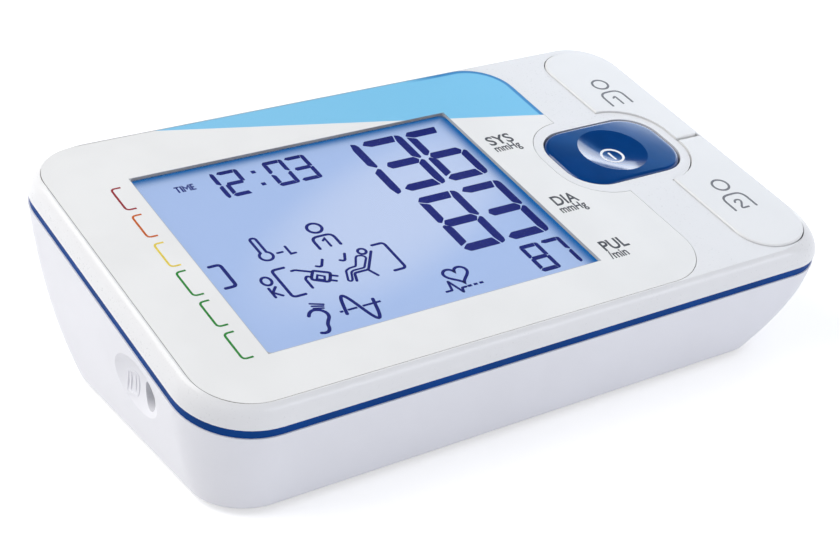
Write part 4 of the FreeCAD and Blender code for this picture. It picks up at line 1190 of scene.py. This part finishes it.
NODE_FINISHES: dict[Finish, tuple[str, ...]] = {
    WHITE_HOUSING: ("lower_housing", "battery_door"),
    WHITE_COVER: ("top_cover",),
    SEAM_BLUE: ("seam_band",),
    FacePlate("face plate"): ("face_plate",),
    ClearPane("clear pane"): ("display_lens",),
    LitDisplay("lit display"): ("lcd_panel",),
    MouldedPlastic("light guide", (236, 240, 248), 0.2, 0.6, 0.002): ("light_guide",),
    MouldedPlastic("frame grey", (196, 198, 202), 0.4): ("lcd_frame",),
    WHITE_KEYS: ("user_key_1", "user_key_2"),
    DOME_SILICONE: ("power_dome", "key_dome_1", "key_dome_2"),
    CircuitBoard("circuit board"): ("main_board",),
    SCREW_STEEL: ("board_screws", "housing_screws"),
    MouldedPlastic("chip black", (34, 35, 38), 0.5, 0.2, 0.006): ("microcontroller",),
    MouldedPlastic("buzzer black", (28, 28, 30), 0.42, 0.3, 0.006): ("buzzer",),
    MouldedPlastic("sensor grey", (206, 206, 204), 0.5): ("pressure_sensor",),
    Rubber("foot rubber", (196, 198, 202), 0.72): (
        "foot_left_front", "foot_left_rear", "foot_right_front", "foot_right_rear"),
    Paper("label paper"): ("rating_plate",),
    CellWrap("cell wrap"): ("aa_cell_1", "aa_cell_2", "aa_cell_3", "aa_cell_4"),
    CONTACT_NICKEL: ("flat_contacts", "spring_contacts"),
    MouldedPlastic("socket grey", (172, 174, 180), 0.4, 0.3, 0.004): ("cuff_socket",),
    MouldedPlastic("jack black", (30, 30, 33), 0.38, 0.3, 0.005): ("mains_jack",),
    Metal("motor steel", (170, 172, 176), 0.3, (24.0, 1.0, 1.0)): ("motor_can",),
    Windings("rotor windings"): ("motor_rotor",),
    MouldedPlastic("pump plastic", (52, 54, 60), 0.45, 0.3, 0.006): ("pump_head",),
    Rubber("diaphragm rubber", (60, 60, 64), 0.62): ("pump_diaphragm",),
    Rubber("cradle rubber", (44, 44, 48), 0.78): ("pump_cradle",),
    MouldedPlastic("valve plastic", (218, 214, 204), 0.45, 0.3, 0.005): ("valve_body",),
    Metal("plunger steel", (190, 190, 194), 0.24, (1.0, 24.0, 1.0)): ("valve_plunger",),
    MouldedPlastic("manifold plastic", (226, 228, 230), 0.38, 0.3, 0.004): ("air_manifold",),
    Rubber("tube silicone", (224, 226, 228), 0.4): ("socket_tube", "valve_tube", "pump_tube"),
    Rubber("lead red", (176, 30, 34), 0.45): ("battery_leads", "motor_leads"),
}


def dress_nodes() -> None:
    """Give every slot of every carried CAD node its finish."""
    for finish, names in NODE_FINISHES.items():
        for name in names:
            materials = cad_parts[name].data.materials
            if not materials:
                materials.append(None)
            for number in range(len(materials)):
                materials[number] = finish.material()
        LOG.info("%s: %s", finish.name, ", ".join(names))


# ---------------------------------------------------------------- display


@dataclass(frozen=True)
class DigitStyle:
    """Seven-segment digit on a box of BOX, scaled to the size that is wanted."""

    width: float
    height: float
    corner: float = 0.35
    swell: float = 0.0

    BOX = (11.1, 21.7)
    SHAPES = {
        "top": ((0.0, 20.25), (1.2, 21.7), (9.2, 21.7), (8.5, 19.1), (1.85, 19.1)),
        "middle": ((1.0, 10.7), (1.85, 12.1), (9.1, 12.1), (10.0, 10.8), (9.1, 9.4), (1.85, 9.4)),
        "bottom": ((0.0, 1.4), (1.6, 2.7), (8.5, 2.7), (9.2, 0.0), (1.2, 0.0)),
        "upper right": ((9.5, 21.7), (10.7, 21.2), (11.1, 20.2), (11.1, 11.5), (10.5, 11.0),
                        (8.9, 12.5), (8.9, 19.1)),
        "lower right": ((9.5, 0.0), (10.7, 0.5), (11.1, 1.5), (11.1, 10.2), (10.5, 10.7),
                        (8.9, 9.2), (8.9, 2.6)),
        "upper left": ((0.0, 19.9), (2.2, 18.6), (2.2, 12.8), (0.8, 11.3), (0.0, 11.8)),
        "lower left": ((0.0, 2.3), (2.2, 3.4), (2.2, 9.1), (0.8, 10.6), (0.0, 10.1)),
    }
    LIT = {
        0: ("top", "bottom", "upper right", "lower right", "upper left", "lower left"),
        1: ("upper right", "lower right"),
        2: ("top", "middle", "bottom", "upper right", "lower left"),
        3: ("top", "middle", "bottom", "upper right", "lower right"),
        6: ("top", "middle", "bottom", "lower right", "upper left", "lower left"),
        7: ("top", "upper right", "lower right"),
        8: ("top", "middle", "bottom", "upper right", "lower right", "upper left", "lower left"),
    }

    def draw(self, sheet: Print, digit: int, left: float, foot: float) -> None:
        """Fill the lit segments.

        Each shape is scaled by this digit's size over BOX and moved to its place, and then every
        corner moves straight out from the shape's middle by the swell.

        Args:
            sheet: The print that takes them.
            digit: Which digit.
            left: Left edge of the digit's box.
            foot: Lower edge of the digit's box.
        """
        scale = np.array((self.width, self.height)) / self.BOX
        for name in self.LIT[digit]:
            shape = np.array(self.SHAPES[name]) * scale + (left, foot)
            middle = (shape.min(axis=0) + shape.max(axis=0)) / 2
            sheet.fill(shape + np.sign(shape - middle) * self.swell, self.corner * scale[1])


PICTOGRAMS: dict[str, Mark] = {
    "word TIME": Mark(0.4, (
        ((-53.5, 25.9), (-52.3, 25.9)), ((-52.9, 25.9), (-52.9, 23.8)),
        ((-51.95, 26.1), (-51.95, 23.8)),
        ((-51.45, 23.8), (-51.45, 25.9), (-50.75, 24.7), (-50.05, 25.9), (-50.05, 23.8)),
        ((-48.75, 25.9), (-49.55, 25.9), (-49.55, 24.0), (-48.75, 24.0)),
        ((-49.55, 24.95), (-48.85, 24.95))), ends=Ends.SQUARE),
    "scale marker": Mark(
        0.85, (((-59.3, -2.75), (-56.8, -2.75), (-56.8, -10.45), (-59.3, -10.45)),), 0.9),
    "thermometer": Mark(0.666, (np.concatenate((
        arc(-46.15, -3.7, 1.5, 118, 422, 30), arc(-46.15, 2.3, 0.7, 0, 180, 9))),), closed=True),
    "dash and L": Mark(0.629, (
        ((-43.4, -3.6), (-42.2, -3.6)), ((-40.75, -2.1), (-40.75, -4.85), (-39.6, -4.85)))),
    "letter O": Mark(0.666, (circle(-50.35, -11.45, 1.1, 1.25),), closed=True),
    "letter K": Mark(0.666, (
        ((-51.1, -13.8), (-51.1, -16.9)), ((-49.5, -13.8), (-50.9, -15.3), (-49.4, -16.9)))),
    "brackets": Mark(0.74, (
        ((-44.7, -8.6), (-47.7, -8.6), (-47.7, -18.2), (-44.7, -18.2)),
        ((-22.7, -8.6), (-19.8, -8.6), (-19.8, -18.2), (-22.7, -18.2))), 1.0),
    "arm and two ticks": Mark(0.666, (
        ((-43.7, -10.25), (-42.9, -10.2), (-39.9, -12.0)),
        ((-36.7, -14.5), (-35.4, -15.3)), ((-37.7, -15.9), (-36.4, -16.7)),
        ((-42.3, -16.9), (-42.3, -13.8), (-41.6, -13.0), (-40.9, -13.5)),
        ((-37.9, -10.7), (-37.2, -11.15), (-36.7, -11.0), (-35.5, -9.1)),
        ((-32.0, -10.7), (-31.4, -11.15), (-30.9, -11.0), (-29.9, -9.0))), 0.4),
    "cuff": Mark(0.74, (
        ((-39.4, -11.8), (-36.3, -13.7), (-36.5, -14.3), (-37.7, -16.2), (-38.3, -16.3),
         (-41.0, -14.5), (-40.9, -13.9)),), 0.4, closed=True),
    "cuff window": Mark(0.55, (
        ((-39.2, -13.5), (-38.0, -14.4), (-38.6, -15.6), (-40.0, -14.6)),), closed=True),
    "head of the seated person": Mark(0.666, (circle(-25.9, -9.7, 0.95),), closed=True),
    "chair": Mark(0.666, (
        ((-24.0, -10.4), (-27.9, -15.8), (-31.4, -15.8), (-32.3, -18.3)),
        ((-28.0, -15.9), (-27.0, -18.3))), 0.5),
    "seated person": Mark(0.55, (
        ((-26.3, -11.4), (-26.2, -12.0), (-28.4, -14.9), (-31.2, -14.9), (-31.9, -15.3),
         (-33.0, -17.7), (-33.5, -18.0), (-34.0, -17.6), (-32.7, -14.4), (-31.6, -13.9),
         (-29.9, -13.8), (-28.3, -11.1), (-27.8, -10.7), (-26.9, -10.9)),), 0.35, closed=True),
    "quiet profile": Mark(0.814, (
        ((-47.8, -24.9), (-47.2, -24.0), (-46.0, -23.4), (-44.5, -24.0), (-43.7, -25.3),
         (-43.9, -26.6), (-44.9, -27.8), (-45.5, -28.7), (-45.7, -29.8), (-46.3, -30.7),
         (-47.2, -30.9), (-48.0, -30.6)),), 0.6),
    "sound lines": Mark(0.52, (
        ((-45.6, -21.4), (-43.0, -22.6)), ((-45.6, -22.3), (-43.3, -23.1)),
        ((-45.6, -23.1), (-43.6, -23.7)))),
    "wave's dashes": Mark(0.6, tuple(
        ((start, -26.15), (end, -26.15)) for start, end in
        ((-41.1, -40.3), (-39.2, -36.9), (-35.6, -33.0), (-32.5, -31.2))), ends=Ends.SQUARE),
    "heart trace": Mark(0.629, (
        ((-16.2, -28.8), (-14.8, -28.8), (-14.0, -25.8), (-12.7, -30.2), (-12.2, -28.8),
         (-11.2, -28.8)),), 0.2),
    "trace's dashes": Mark(0.68, tuple(
        ((start, -28.8), (end, -28.8)) for start, end in
        ((-10.8, -9.7), (-9.2, -8.2), (-7.7, -6.7))), ends=Ends.SQUARE),
}


@dataclass(frozen=True)
class Display:
    """The lit readings and pictograms of the liquid-crystal display."""

    large: DigitStyle = DigitStyle(11.15, 21.7)
    small: DigitStyle = DigitStyle(5.2, 9.9, swell=0.04)
    readings: tuple[tuple[int, float, float], ...] = (
        (1, -16.2, 6.1), (3, -4.0, 6.1), (6, 8.1, 6.1), (8, -4.0, -18.5), (3, 8.2, -18.5))
    clock_and_pulse: tuple[tuple[int, float, float], ...] = (
        (1, -48.0, 18.2), (2, -42.1, 18.2), (0, -30.5, 18.2), (3, -24.6, 18.2),
        (8, 8.0, -30.9), (7, 14.1, -30.9))
    colon: tuple[tuple[float, float], ...] = ((-33.7, 25.5), (-33.7, 20.5))
    dot: tuple[tuple[float, float], ...] = (
        (-0.55, -0.55), (0.55, -0.55), (0.55, 0.55), (-0.55, 0.55))
    dot_corner: float = 0.15
    user: Person = Person((-31.4, 1.5), 1.7, -34.0, -28.8, -5.6, -1.5, 0.74, 1.6,
                          Mark(0.629, (((-31.9, -3.2), (-31.2, -2.6), (-31.2, -5.5)),)))
    wave_start: tuple[float, float] = (-40.0, -26.2)
    wave_length: float = 7.6
    wave_height: float = 4.6
    wave_turns: float = 1.08
    wave_lag: float = 0.22
    wave_steps: int = 33
    wave_width: float = 0.814
    heart_middle: tuple[float, float] = (-10.7, -24.4)
    heart_scale: tuple[float, float] = (2.95, 0.185)
    heart_steps: int = 48
    heart_width: float = 0.74

    def build(self) -> None:
        """Digits and pictograms as one sheet of segments on the panel's upper glass."""
        sheet = Print("display_segments", on_deck("lcd_panel"), 0.02)
        for style, digits in ((self.large, self.readings), (self.small, self.clock_and_pulse)):
            for digit, left, foot in digits:
                style.draw(sheet, digit, left, foot)
        for middle in self.colon:
            sheet.fill(np.array(self.dot) + middle, self.dot_corner)
        for mark in PICTOGRAMS.values():
            mark.draw(sheet)
        self.user.draw(sheet)
        sheet.line(Stroke(self.wave(), self.wave_width))
        sheet.line(Stroke(self.heart(), self.heart_width, closed=True))
        sheet.piece(SEGMENT_INK, Body.MONITOR)

    def wave(self) -> np.ndarray:
        """A little over one sine wave from its start.

        With t from 0 to 1 over its length it rises by height sin(2 pi turns t - lag).

        Returns:
            Places of shape (wave_steps, 2).
        """
        t = np.linspace(0, 1, self.wave_steps)
        rise = self.wave_height * np.sin(t * FULL_TURN * self.wave_turns - self.wave_lag)
        return np.stack((self.wave_start[0] + t * self.wave_length,
                         self.wave_start[1] + rise), axis=1)

    def heart(self) -> np.ndarray:
        """A heart round its middle.

        At angle a it lies at sin^3 a across and 13 cos a - 5 cos 2a - 2 cos 3a - cos 4a up, each
        times its scale.

        Returns:
            Places of shape (heart_steps, 2).
        """
        angle = np.linspace(0, FULL_TURN, self.heart_steps, endpoint=False)
        across = self.heart_scale[0] * np.sin(angle) ** 3
        up = self.heart_scale[1] * (13 * np.cos(angle) - 5 * np.cos(2 * angle)
                                    - 2 * np.cos(3 * angle) - np.cos(4 * angle))
        return np.stack((across, up), axis=1) + self.heart_middle


# ---------------------------------------------------------------- print on the deck


@dataclass(frozen=True)
class ScaleBrackets:
    """Coloured brackets beside the display, from red at the back to green at the front."""

    stem: float = -67.9
    arm: float = -65.6
    width: float = 0.5
    corner: float = 1.0
    ranges: tuple[tuple[str, Colour, tuple[tuple[float, float], ...]], ...] = (
        ("red", (150, 42, 52), ((27.4, 19.2),)),
        ("orange", (194, 94, 32), ((16.8, 8.7),)),
        ("yellow", (222, 200, 78), ((6.1, -2.2),)),
        ("green", (40, 132, 52), ((-4.3, -12.6), (-14.9, -23.2), (-25.6, -33.9))),
    )

    def build(self) -> None:
        """One print for each colour."""
        for name, colour, spans in self.ranges:
            paths = tuple(((self.arm, back), (self.stem, back), (self.stem, front),
                           (self.arm, front)) for back, front in spans)
            sheet = Print(f"scale_bracket_{name}", on_deck("face_plate"))
            Mark(self.width, paths, self.corner, ends=Ends.SQUARE).draw(sheet)
            sheet.piece(Ink(f"scale {name}", colour), Body.MONITOR)


@dataclass(frozen=True)
class ReadingLabels:
    """Generic names and units beside the three readings."""

    size: float = 5.05
    unit_size: float = 3.75
    weight: float = 0.018
    names: tuple[tuple[str, float, float, float], ...] = (
        ("SYS", 24.0, 13.1, 7.0), ("DIA", 24.3, -13.4, 6.6), ("PUL", 24.3, -32.0, 6.9))
    units: tuple[tuple[str, float, float, float], ...] = (
        ("mmHg", 23.9, 10.3, 7.3), ("mmHg", 23.9, -16.3, 7.3), ("/min", 23.9, -34.9, 5.0))

    def build(self) -> None:
        """Capitals for the readings and smaller letters for their units: left, foot and width."""
        sheet = Print("reading_labels", on_deck("face_plate"))
        for size, words in ((self.size, self.names), (self.unit_size, self.units)):
            for text, left, foot, width in words:
                sheet.words(text, left, foot, size, width, self.weight)
        sheet.piece(LABEL_GREY, Body.MONITOR)


@dataclass(frozen=True)
class KeyLegend:
    """Figure with a number on one of the two user keys."""

    node: str
    body: Body
    person: Person

    def build(self) -> None:
        """The user's sign on the key's top."""
        sheet = Print(f"{self.node}_legend", on_deck(self.node))
        self.person.draw(sheet)
        sheet.piece(LEGEND_GREY, self.body)


KEY_LEGENDS = (
    KeyLegend("user_key_1", Body.USER_KEY_1, Person(
        (68.0, 27.1), 2.1, 64.8, 71.1, 17.4, 23.4, 0.6, 2.4,
        Mark(0.54, (((67.3, 20.5), (68.2, 21.2), (68.2, 17.5)),), 0.9))),
    KeyLegend("user_key_2", Body.USER_KEY_2, Person(
        (67.8, -21.1), 2.1, 64.2, 70.8, -30.9, -25.1, 0.6, 2.4,
        Mark(0.54, (((66.3, -28.2), (66.8, -27.4), (68.0, -27.5), (68.2, -28.4), (66.3, -30.7),
                     (68.5, -30.7)),), 0.9))),
)


# ---------------------------------------------------------------- power button


@dataclass(frozen=True)
class PowerButton:
    """Pillow-shaped button with a round dish, its flange and the stem that works the dome."""

    u: float = 51.7
    v: float = 0.9
    width: float = 33.0
    depth: float = 23.0
    radius: float = 8.5
    top: float = 6.5
    fall_across: float = 0.42
    fall_along: float = 0.22
    edge: float = 1.0
    dish_radius: float = 8.7
    dish_depth: float = 1.7
    dish_lip: tuple[float, float, float] = (0.12, 0.3, 0.6)
    skirt: float = 3.4
    flange: float = 1.2
    flange_lap: float = 0.9
    stem_radius: float = 2.6
    stem_length: float = 0.7
    sign_middle: tuple[float, float] = (-0.15, -0.57)
    sign_radius: float = 2.75
    sign_bar: tuple[float, ...] = (-1.35, -0.7, 0.0, 0.7, 1.35)
    sign_width: float = 0.62
    sign_height: float = 0.03
    columns: int = 144
    edge_rows: int = 9
    slope_rows: int = 14
    dish_rows: int = 24
    crease: float = 16.0

    def ray(self) -> np.ndarray:
        """Directions of length 1 all round, one for each column."""
        angle = np.linspace(0, FULL_TURN, self.columns, endpoint=False)
        return np.stack((np.cos(angle), np.sin(angle)), axis=1)

    def outline(self, pull: float) -> np.ndarray:
        """Rounded rectangle pulled in on every side.

        From the middle at angle a, the ray runs to the side of a box with cut corners: a circle of
        the corner's radius about its centre, or the straight side, whichever it meets.

        Args:
            pull: How far the outline is pulled in, or let out when negative.

        Returns:
            Places of shape (columns, 2).
        """
        half = np.array((self.width / 2 - pull, self.depth / 2 - pull))
        radius = max(self.radius - pull, 0.2)
        ray = self.ray()
        size = np.abs(ray)
        straight = np.min(half / np.maximum(size, TINY), axis=1)
        hit = size * straight[:, None]
        centre = half - radius
        along = (size * centre).sum(axis=1)
        reach = along + np.sqrt(np.maximum(along ** 2 - (centre ** 2).sum() + radius ** 2, 0.0))
        in_corner = (hit > centre).all(axis=1)
        return ray * np.where(in_corner, reach, straight)[:, None]

    def pillow(self, flat: np.ndarray) -> np.ndarray:
        """Height of the crowned top.

        It is top - fall_across (x / a)^2 - fall_along (y / b)^2, where a and b are half the width
        and half the depth.

        Args:
            flat: Places from the button's middle, shape (..., 2).

        Returns:
            Heights of shape (...).
        """
        share = (flat / np.array((self.width / 2, self.depth / 2))) ** 2
        return self.top - self.fall_across * share[..., 0] - self.fall_along * share[..., 1]

    def dish(self, flat: np.ndarray) -> np.ndarray:
        """Height of the dish's floor.

        With t = r / R it is top - depth (1 - t^2), plus t^4 times how much lower than the top the
        pillow lies at the rim in the same direction.

        Args:
            flat: Places from the button's middle, shape (..., 2).

        Returns:
            Heights of shape (...).
        """
        radius = np.linalg.norm(flat, axis=-1)
        share = radius / self.dish_radius
        rim = flat / np.maximum(radius, TINY)[..., None] * self.dish_radius
        return (self.top - self.dish_depth * (1 - share ** 2)
                + (self.pillow(rim) - self.top) * share ** 4)

    def rows(self) -> np.ndarray:
        """All rows from the middle of the stem's foot, round the outside, to the dish's middle.

        The edge turns by the angle a from 0 to a quarter turn: pulled in by edge (1 - cos a) and
        lower than the pillow by edge (1 - sin a).

        Returns:
            Places u, v and w from the button's middle, shape (rows, columns, 3).
        """
        ray = self.ray()
        flange_foot = self.skirt - self.flange
        stem_foot = flange_foot - self.stem_length
        level = [(ray * 0.0, stem_foot), (ray * self.stem_radius, stem_foot),
                 (ray * self.stem_radius, flange_foot),
                 (self.outline(-self.flange_lap), flange_foot),
                 (self.outline(-self.flange_lap), self.skirt),
                 (self.outline(0.0), self.skirt)]
        body = [(flat, np.full(self.columns, height)) for flat, height in level]
        outer, rim = self.outline(self.edge), ray * self.dish_radius
        for angle in np.linspace(0, QUARTER_TURN, self.edge_rows):
            flat = self.outline(self.edge * (1 - math.cos(angle)))
            body.append((flat, self.pillow(outer) - self.edge * (1 - math.sin(angle))))
        for share in np.linspace(0, 1, self.slope_rows)[1:]:
            flat = outer + (rim - outer) * share
            body.append((flat, self.pillow(flat)))
        near, next_to, last = (self.dish_radius - step for step in self.dish_lip)
        for radius in (near, next_to, *np.linspace(last, 0.0, self.dish_rows)):
            flat = ray * radius
            body.append((flat, self.dish(flat)))
        return np.stack([np.concatenate((flat, height[:, None]), axis=1) for flat, height in body])

    def on_dish(self, flat: np.ndarray, height: np.ndarray | float) -> np.ndarray:
        """The dish as a surface for prints: places from the button's middle, heights up."""
        return deck_to_world(flat[..., 0] + self.u, flat[..., 1] + self.v,
                             self.dish(flat) + height)

    def build(self) -> None:
        """The button's closed surface, and the sign at the bottom of its dish."""
        u, v, w = np.moveaxis(self.rows(), -1, 0)
        shell = Shell()
        shell.grid(deck_to_world(u + self.u, v + self.v, w), wrap_columns=True)
        button = settle(shell.build("power_button_cap", self.crease), BUTTON_BLUE,
                        Body.POWER_BUTTON)
        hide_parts("power_button")
        sheet = Print("power_sign", self.on_dish, self.sign_height)
        u, v = self.sign_middle
        Mark(self.sign_width, (circle(u, v, self.sign_radius),), closed=True).draw(sheet)
        Mark(self.sign_width, (tuple((u, v + step) for step in self.sign_bar),)).draw(sheet)
        sheet.piece(SYMBOL_WHITE, Body.POWER_BUTTON)


@dataclass(frozen=True)
class ContactDome:
    """Silicone dome on the main board that a key's stem presses flat."""

    node: str
    joint: str
    travel: float
    neck_radius: float = 3.0
    wall: float = 0.8
    bend: float = 0.8
    rows: int = 9
    columns: int = 48

    def build(self) -> None:
        """A closed turned wall over the node's place.

        Outside, the radius falls from R at the foot to the neck's n at the crown as
        R + (n - R) t^bend, with t from 0 to 1 over the height; inside both are a wall less.
        """
        u, v, w = node_on_deck(self.node)
        middle_u, middle_v = (float(part.min() + part.max()) / 2 for part in (u, v))
        foot, height, radius = float(w.min()), float(np.ptp(w)), float(np.ptp(u)) / 2
        t = np.linspace(0, 1, self.rows)
        outside = np.stack((radius + (self.neck_radius - radius) * t ** self.bend, t * height),
                           axis=1)
        inside = np.stack((outside[:, 0] - self.wall, t * (height - self.wall)), axis=1)
        crown = ((0.0, height), (0.0, height - self.wall))
        profile = np.concatenate((outside, crown, inside[::-1]))
        turn = np.linspace(0, FULL_TURN, self.columns, endpoint=False)
        shell = Shell()
        shell.grid(deck_to_world(middle_u + profile[:, :1] * np.cos(turn),
                                 middle_v + profile[:, :1] * np.sin(turn),
                                 foot + profile[:, 1:]),
                   wrap_rows=True, wrap_columns=True)
        dome = settle(shell.build(f"{self.node}_silicone"), DOME_SILICONE, Body.MONITOR)
        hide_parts(self.node)
        deck_to_world(middle_u, middle_v, foot).tolist()
        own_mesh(dome)


DOMES = (
    ContactDome("power_dome", "power_button_press", 1.0),
    ContactDome("key_dome_1", "user_key_1_press", 0.8),
    ContactDome("key_dome_2", "user_key_2_press", 0.8),
)


# ---------------------------------------------------------------- moulded signs


@dataclass(frozen=True)
class MouldedSigns:
    """Low reliefs in the housing's own plastic: hose plug, door arrow and mains polarity."""

    plug: Mark = Mark(0.5, (((-9.0, 13.3), (-9.0, 18.4), (-13.2, 18.9), (-13.2, 14.0)),), 0.8,
                      closed=True)
    plug_bars: Mark = Mark(0.45, (((-10.2, 14.3), (-10.2, 17.9)), ((-11.9, 14.6), (-11.9, 18.1))))
    arrow: Mark = Mark(0.7, (
        ((-9.0, -4.0), (-13.5, -10.0), (-11.0, -10.0), (-11.0, -12.6), (-7.0, -12.6),
         (-7.0, -10.0), (-4.5, -10.0)),), 0.4, closed=True)
    door_level: float = 1.0
    mains_middle: tuple[float, float] = (-61.0, 14.2)
    mains_width: float = 0.35
    cup_radius: float = 1.6
    cup_width: float = 0.4
    cup_gap: tuple[float, float] = (1.2, 0.9)
    pin_radius: float = 0.55
    pole_reach: float = 5.4
    pole_radius: float = 1.1
    pole_sign: float = 0.5
    pole_sign_width: float = 0.3
    line_end: float = 4.2

    def build(self) -> None:
        """One relief for each of the three places."""
        plug = Print("plug_sign", in_scoop, 0.12, 0.1)
        self.plug.draw(plug)
        self.plug_bars.draw(plug)
        plug.piece(WHITE_HOUSING, Body.MONITOR)
        arrow = Print("door_arrow", under_base(self.door_level), 0.2, 0.1)
        self.arrow.draw(arrow)
        arrow.piece(WHITE_HOUSING, Body.BATTERY_DOOR)
        mains = Print("polarity_sign", on_rear_wall(), 0.2, 0.15)
        self.polarity(mains)
        mains.piece(WHITE_HOUSING, Body.MONITOR)

    def polarity(self, sheet: Print) -> None:
        """An open cup round a pin, with lines to a minus sign and a plus sign in rings.

        Args:
            sheet: The print that takes them.
        """
        x, z = self.mains_middle
        cup = circle(x, z, self.cup_radius)
        cup = cup[(cup[:, 0] < x + self.cup_gap[0]) | (np.abs(cup[:, 1] - z) > self.cup_gap[1])]
        Mark(self.cup_width, (cup,)).draw(sheet)
        sheet.fill(circle(x, z, self.pin_radius, steps=20))
        minus, plus, size = x - self.pole_reach, x + self.pole_reach, self.pole_sign
        Mark(self.mains_width, (((x - self.cup_radius, z), (x - self.line_end, z)),
                                ((x, z), (x + self.line_end, z)))).draw(sheet)
        Mark(self.mains_width, (circle(minus, z, self.pole_radius),
                                circle(plus, z, self.pole_radius)), closed=True).draw(sheet)
        Mark(self.pole_sign_width, (((minus - size, z), (minus + size, z)),
                                    ((plus - size, z), (plus + size, z)),
                                    ((plus, z - size), (plus, z + size)))).draw(sheet)


# ---------------------------------------------------------------- studio


@dataclass(frozen=True)
class Lamp:
    """A soft rectangular lamp that faces the object."""

    name: str
    place: Triple
    size: tuple[float, float]
    watts: float
    colour: Colour
    aim: Triple = (0.0, 0.0, 0.03)

    def build(self) -> None:
        """Put the lamp in its place."""
        light = bpy.data.lights.new(self.name, "AREA")
        light.shape, light.size, light.size_y = "RECTANGLE", *self.size
        light.energy, light.color = self.watts, linear(self.colour)[:3]
        item = bpy.data.objects.new(self.name, light)
        bpy.context.scene.collection.objects.link(item)
        item.location = self.place
        item.rotation_euler = (Vector(self.aim) - item.location).to_track_quat("-Z", "Y").to_euler()


@dataclass(frozen=True)
class Studio:
    """Camera, lamps, pale floor and white surroundings."""

    eye: Triple = (-0.201374, -0.290146, 0.186839)
    right: Triple = (0.83249745, -0.55349, 0.02442976)
    down: Triple = (-0.22465409, -0.37754939, -0.89832455)
    forward: Triple = (0.5064371, 0.74236465, -0.4386527)
    lens: float = 72.22
    sensor: float = 36.0
    nearest: float = 0.01
    farthest: float = 20.0
    surround: float = 0.58
    cool: Colour = (248, 250, 255)
    ceiling: float = 0.02
    ceiling_edge: tuple[float, float] = (0.3, 0.62)
    floor_half: float = 3.0
    floor_level: float = -0.0002
    floor_glow: float = 0.52
    floor_mottle: float = 40.0
    floor_dull: Colour = (219, 219, 221)
    floor_bright: Colour = (223, 223, 224)
    seen: tuple[str, ...] = ("Is Camera Ray", "Is Glossy Ray", "Is Transmission Ray")
    lamps: tuple[Lamp, ...] = (
        Lamp("key lamp", (-0.5, 0.35, 0.75), (0.7, 0.7), 5.4, (255, 253, 249)),
        Lamp("front fill", (0.35, -0.85, 0.09), (0.9, 0.17), 2.0, (240, 244, 255)),
        Lamp("back window", (0.745, 0.49, 0.326), (0.5, 0.46), 1.75, (238, 247, 255)),
        Lamp("upper window", (0.6818, 0.3936, 0.575), (0.42, 0.2), 0.22, (120, 190, 255)),
    )

    def build(self) -> None:
        """Camera first, then light, then floor."""
        self.camera()
        for lamp in self.lamps:
            lamp.build()
        self.sky()
        self.floor()
        bpy.context.scene.view_settings.view_transform = "Standard"
        LOG.info("studio: camera, %d lamps, surroundings and floor", len(self.lamps))

    def camera(self) -> None:
        """Camera from its place and its three directions."""
        lens = bpy.data.cameras.new("camera")
        lens.lens, lens.sensor_width = self.lens, self.sensor
        lens.clip_start, lens.clip_end = self.nearest, self.farthest
        item = bpy.data.objects.new("camera", lens)
        bpy.context.scene.collection.objects.link(item)
        columns = np.eye(4)
        columns[:3, 0], columns[:3, 1] = self.right, -np.array(self.down)
        columns[:3, 2], columns[:3, 3] = -np.array(self.forward), self.eye
        item.matrix_world = Matrix(columns.tolist())
        bpy.context.scene.camera = item

    @staticmethod
    def rays(sheet: Sheet, kinds: tuple[str, ...]) -> Field:
        """1 for rays of any of the kinds, 0 for the others."""
        path = sheet.node("ShaderNodeLightPath")
        return reduce(Field.most, (Field(sheet, path.outputs[kind]) for kind in kinds))

    def sky(self) -> None:
        """White where it is seen, softer and cooler where it lights the object, and a dark
        ceiling for gloss: its edge runs over the sine of the elevation."""
        world = bpy.data.worlds.new("surroundings")
        bpy.context.scene.world = world
        sheet = Sheet(world)
        seen, gloss = self.rays(sheet, self.seen), self.rays(sheet, ("Is Glossy Ray",))
        aim = sheet.field("ShaderNodeTexCoord", output="Generated")
        shade_share = gloss * sheet.parts(aim)[2].ramp(*self.ceiling_edge) * (1.0 - self.ceiling)
        strength = (self.surround + seen * (1.0 - self.surround)) * (1.0 - shade_share)
        light = sheet.field("ShaderNodeBackground", inputs={
            "Color": sheet.mix(seen, self.cool, WHITE), "Strength": strength})
        sheet.surface(light, "ShaderNodeOutputWorld")

    def floor(self) -> None:
        """Pale floor that keeps the object's shadow: matt white plus a glow for seen rays."""
        edge = np.linspace(-self.floor_half, self.floor_half, 3)
        x, y = np.meshgrid(edge, edge, indexing="ij")
        shell = Shell()
        shell.grid(np.stack((x, y, np.full_like(x, self.floor_level)), axis=-1))
        item = shell.build("floor")
        sheet = Sheet(bpy.data.materials.new("floor paper"))
        mottle = sheet.noise(self.floor_mottle, 3.0)
        matt = sheet.field("ShaderNodeBsdfDiffuse", inputs={
            "Color": sheet.mix(mottle, self.floor_dull, self.floor_bright)})
        glow = sheet.field("ShaderNodeEmission", inputs={
            "Color": linear(WHITE), "Strength": self.rays(sheet, self.seen) * self.floor_glow})
        both = sheet.field("ShaderNodeAddShader", inputs={0: matt, 1: glow})
        item.data.materials.append(sheet.surface(both))


def main() -> None:
    """Build the studio, dress the frame and add every piece."""
    logging.basicConfig(level=logging.INFO, format="%(message)s")
    Studio().build()
    dress_nodes()
    for assembly in (PowerButton(), *DOMES, MouldedSigns(), Display(), ScaleBrackets(),
                     ReadingLabels(), *KEY_LEGENDS):
        assembly.build()


if __name__ == "__main__":
    main()
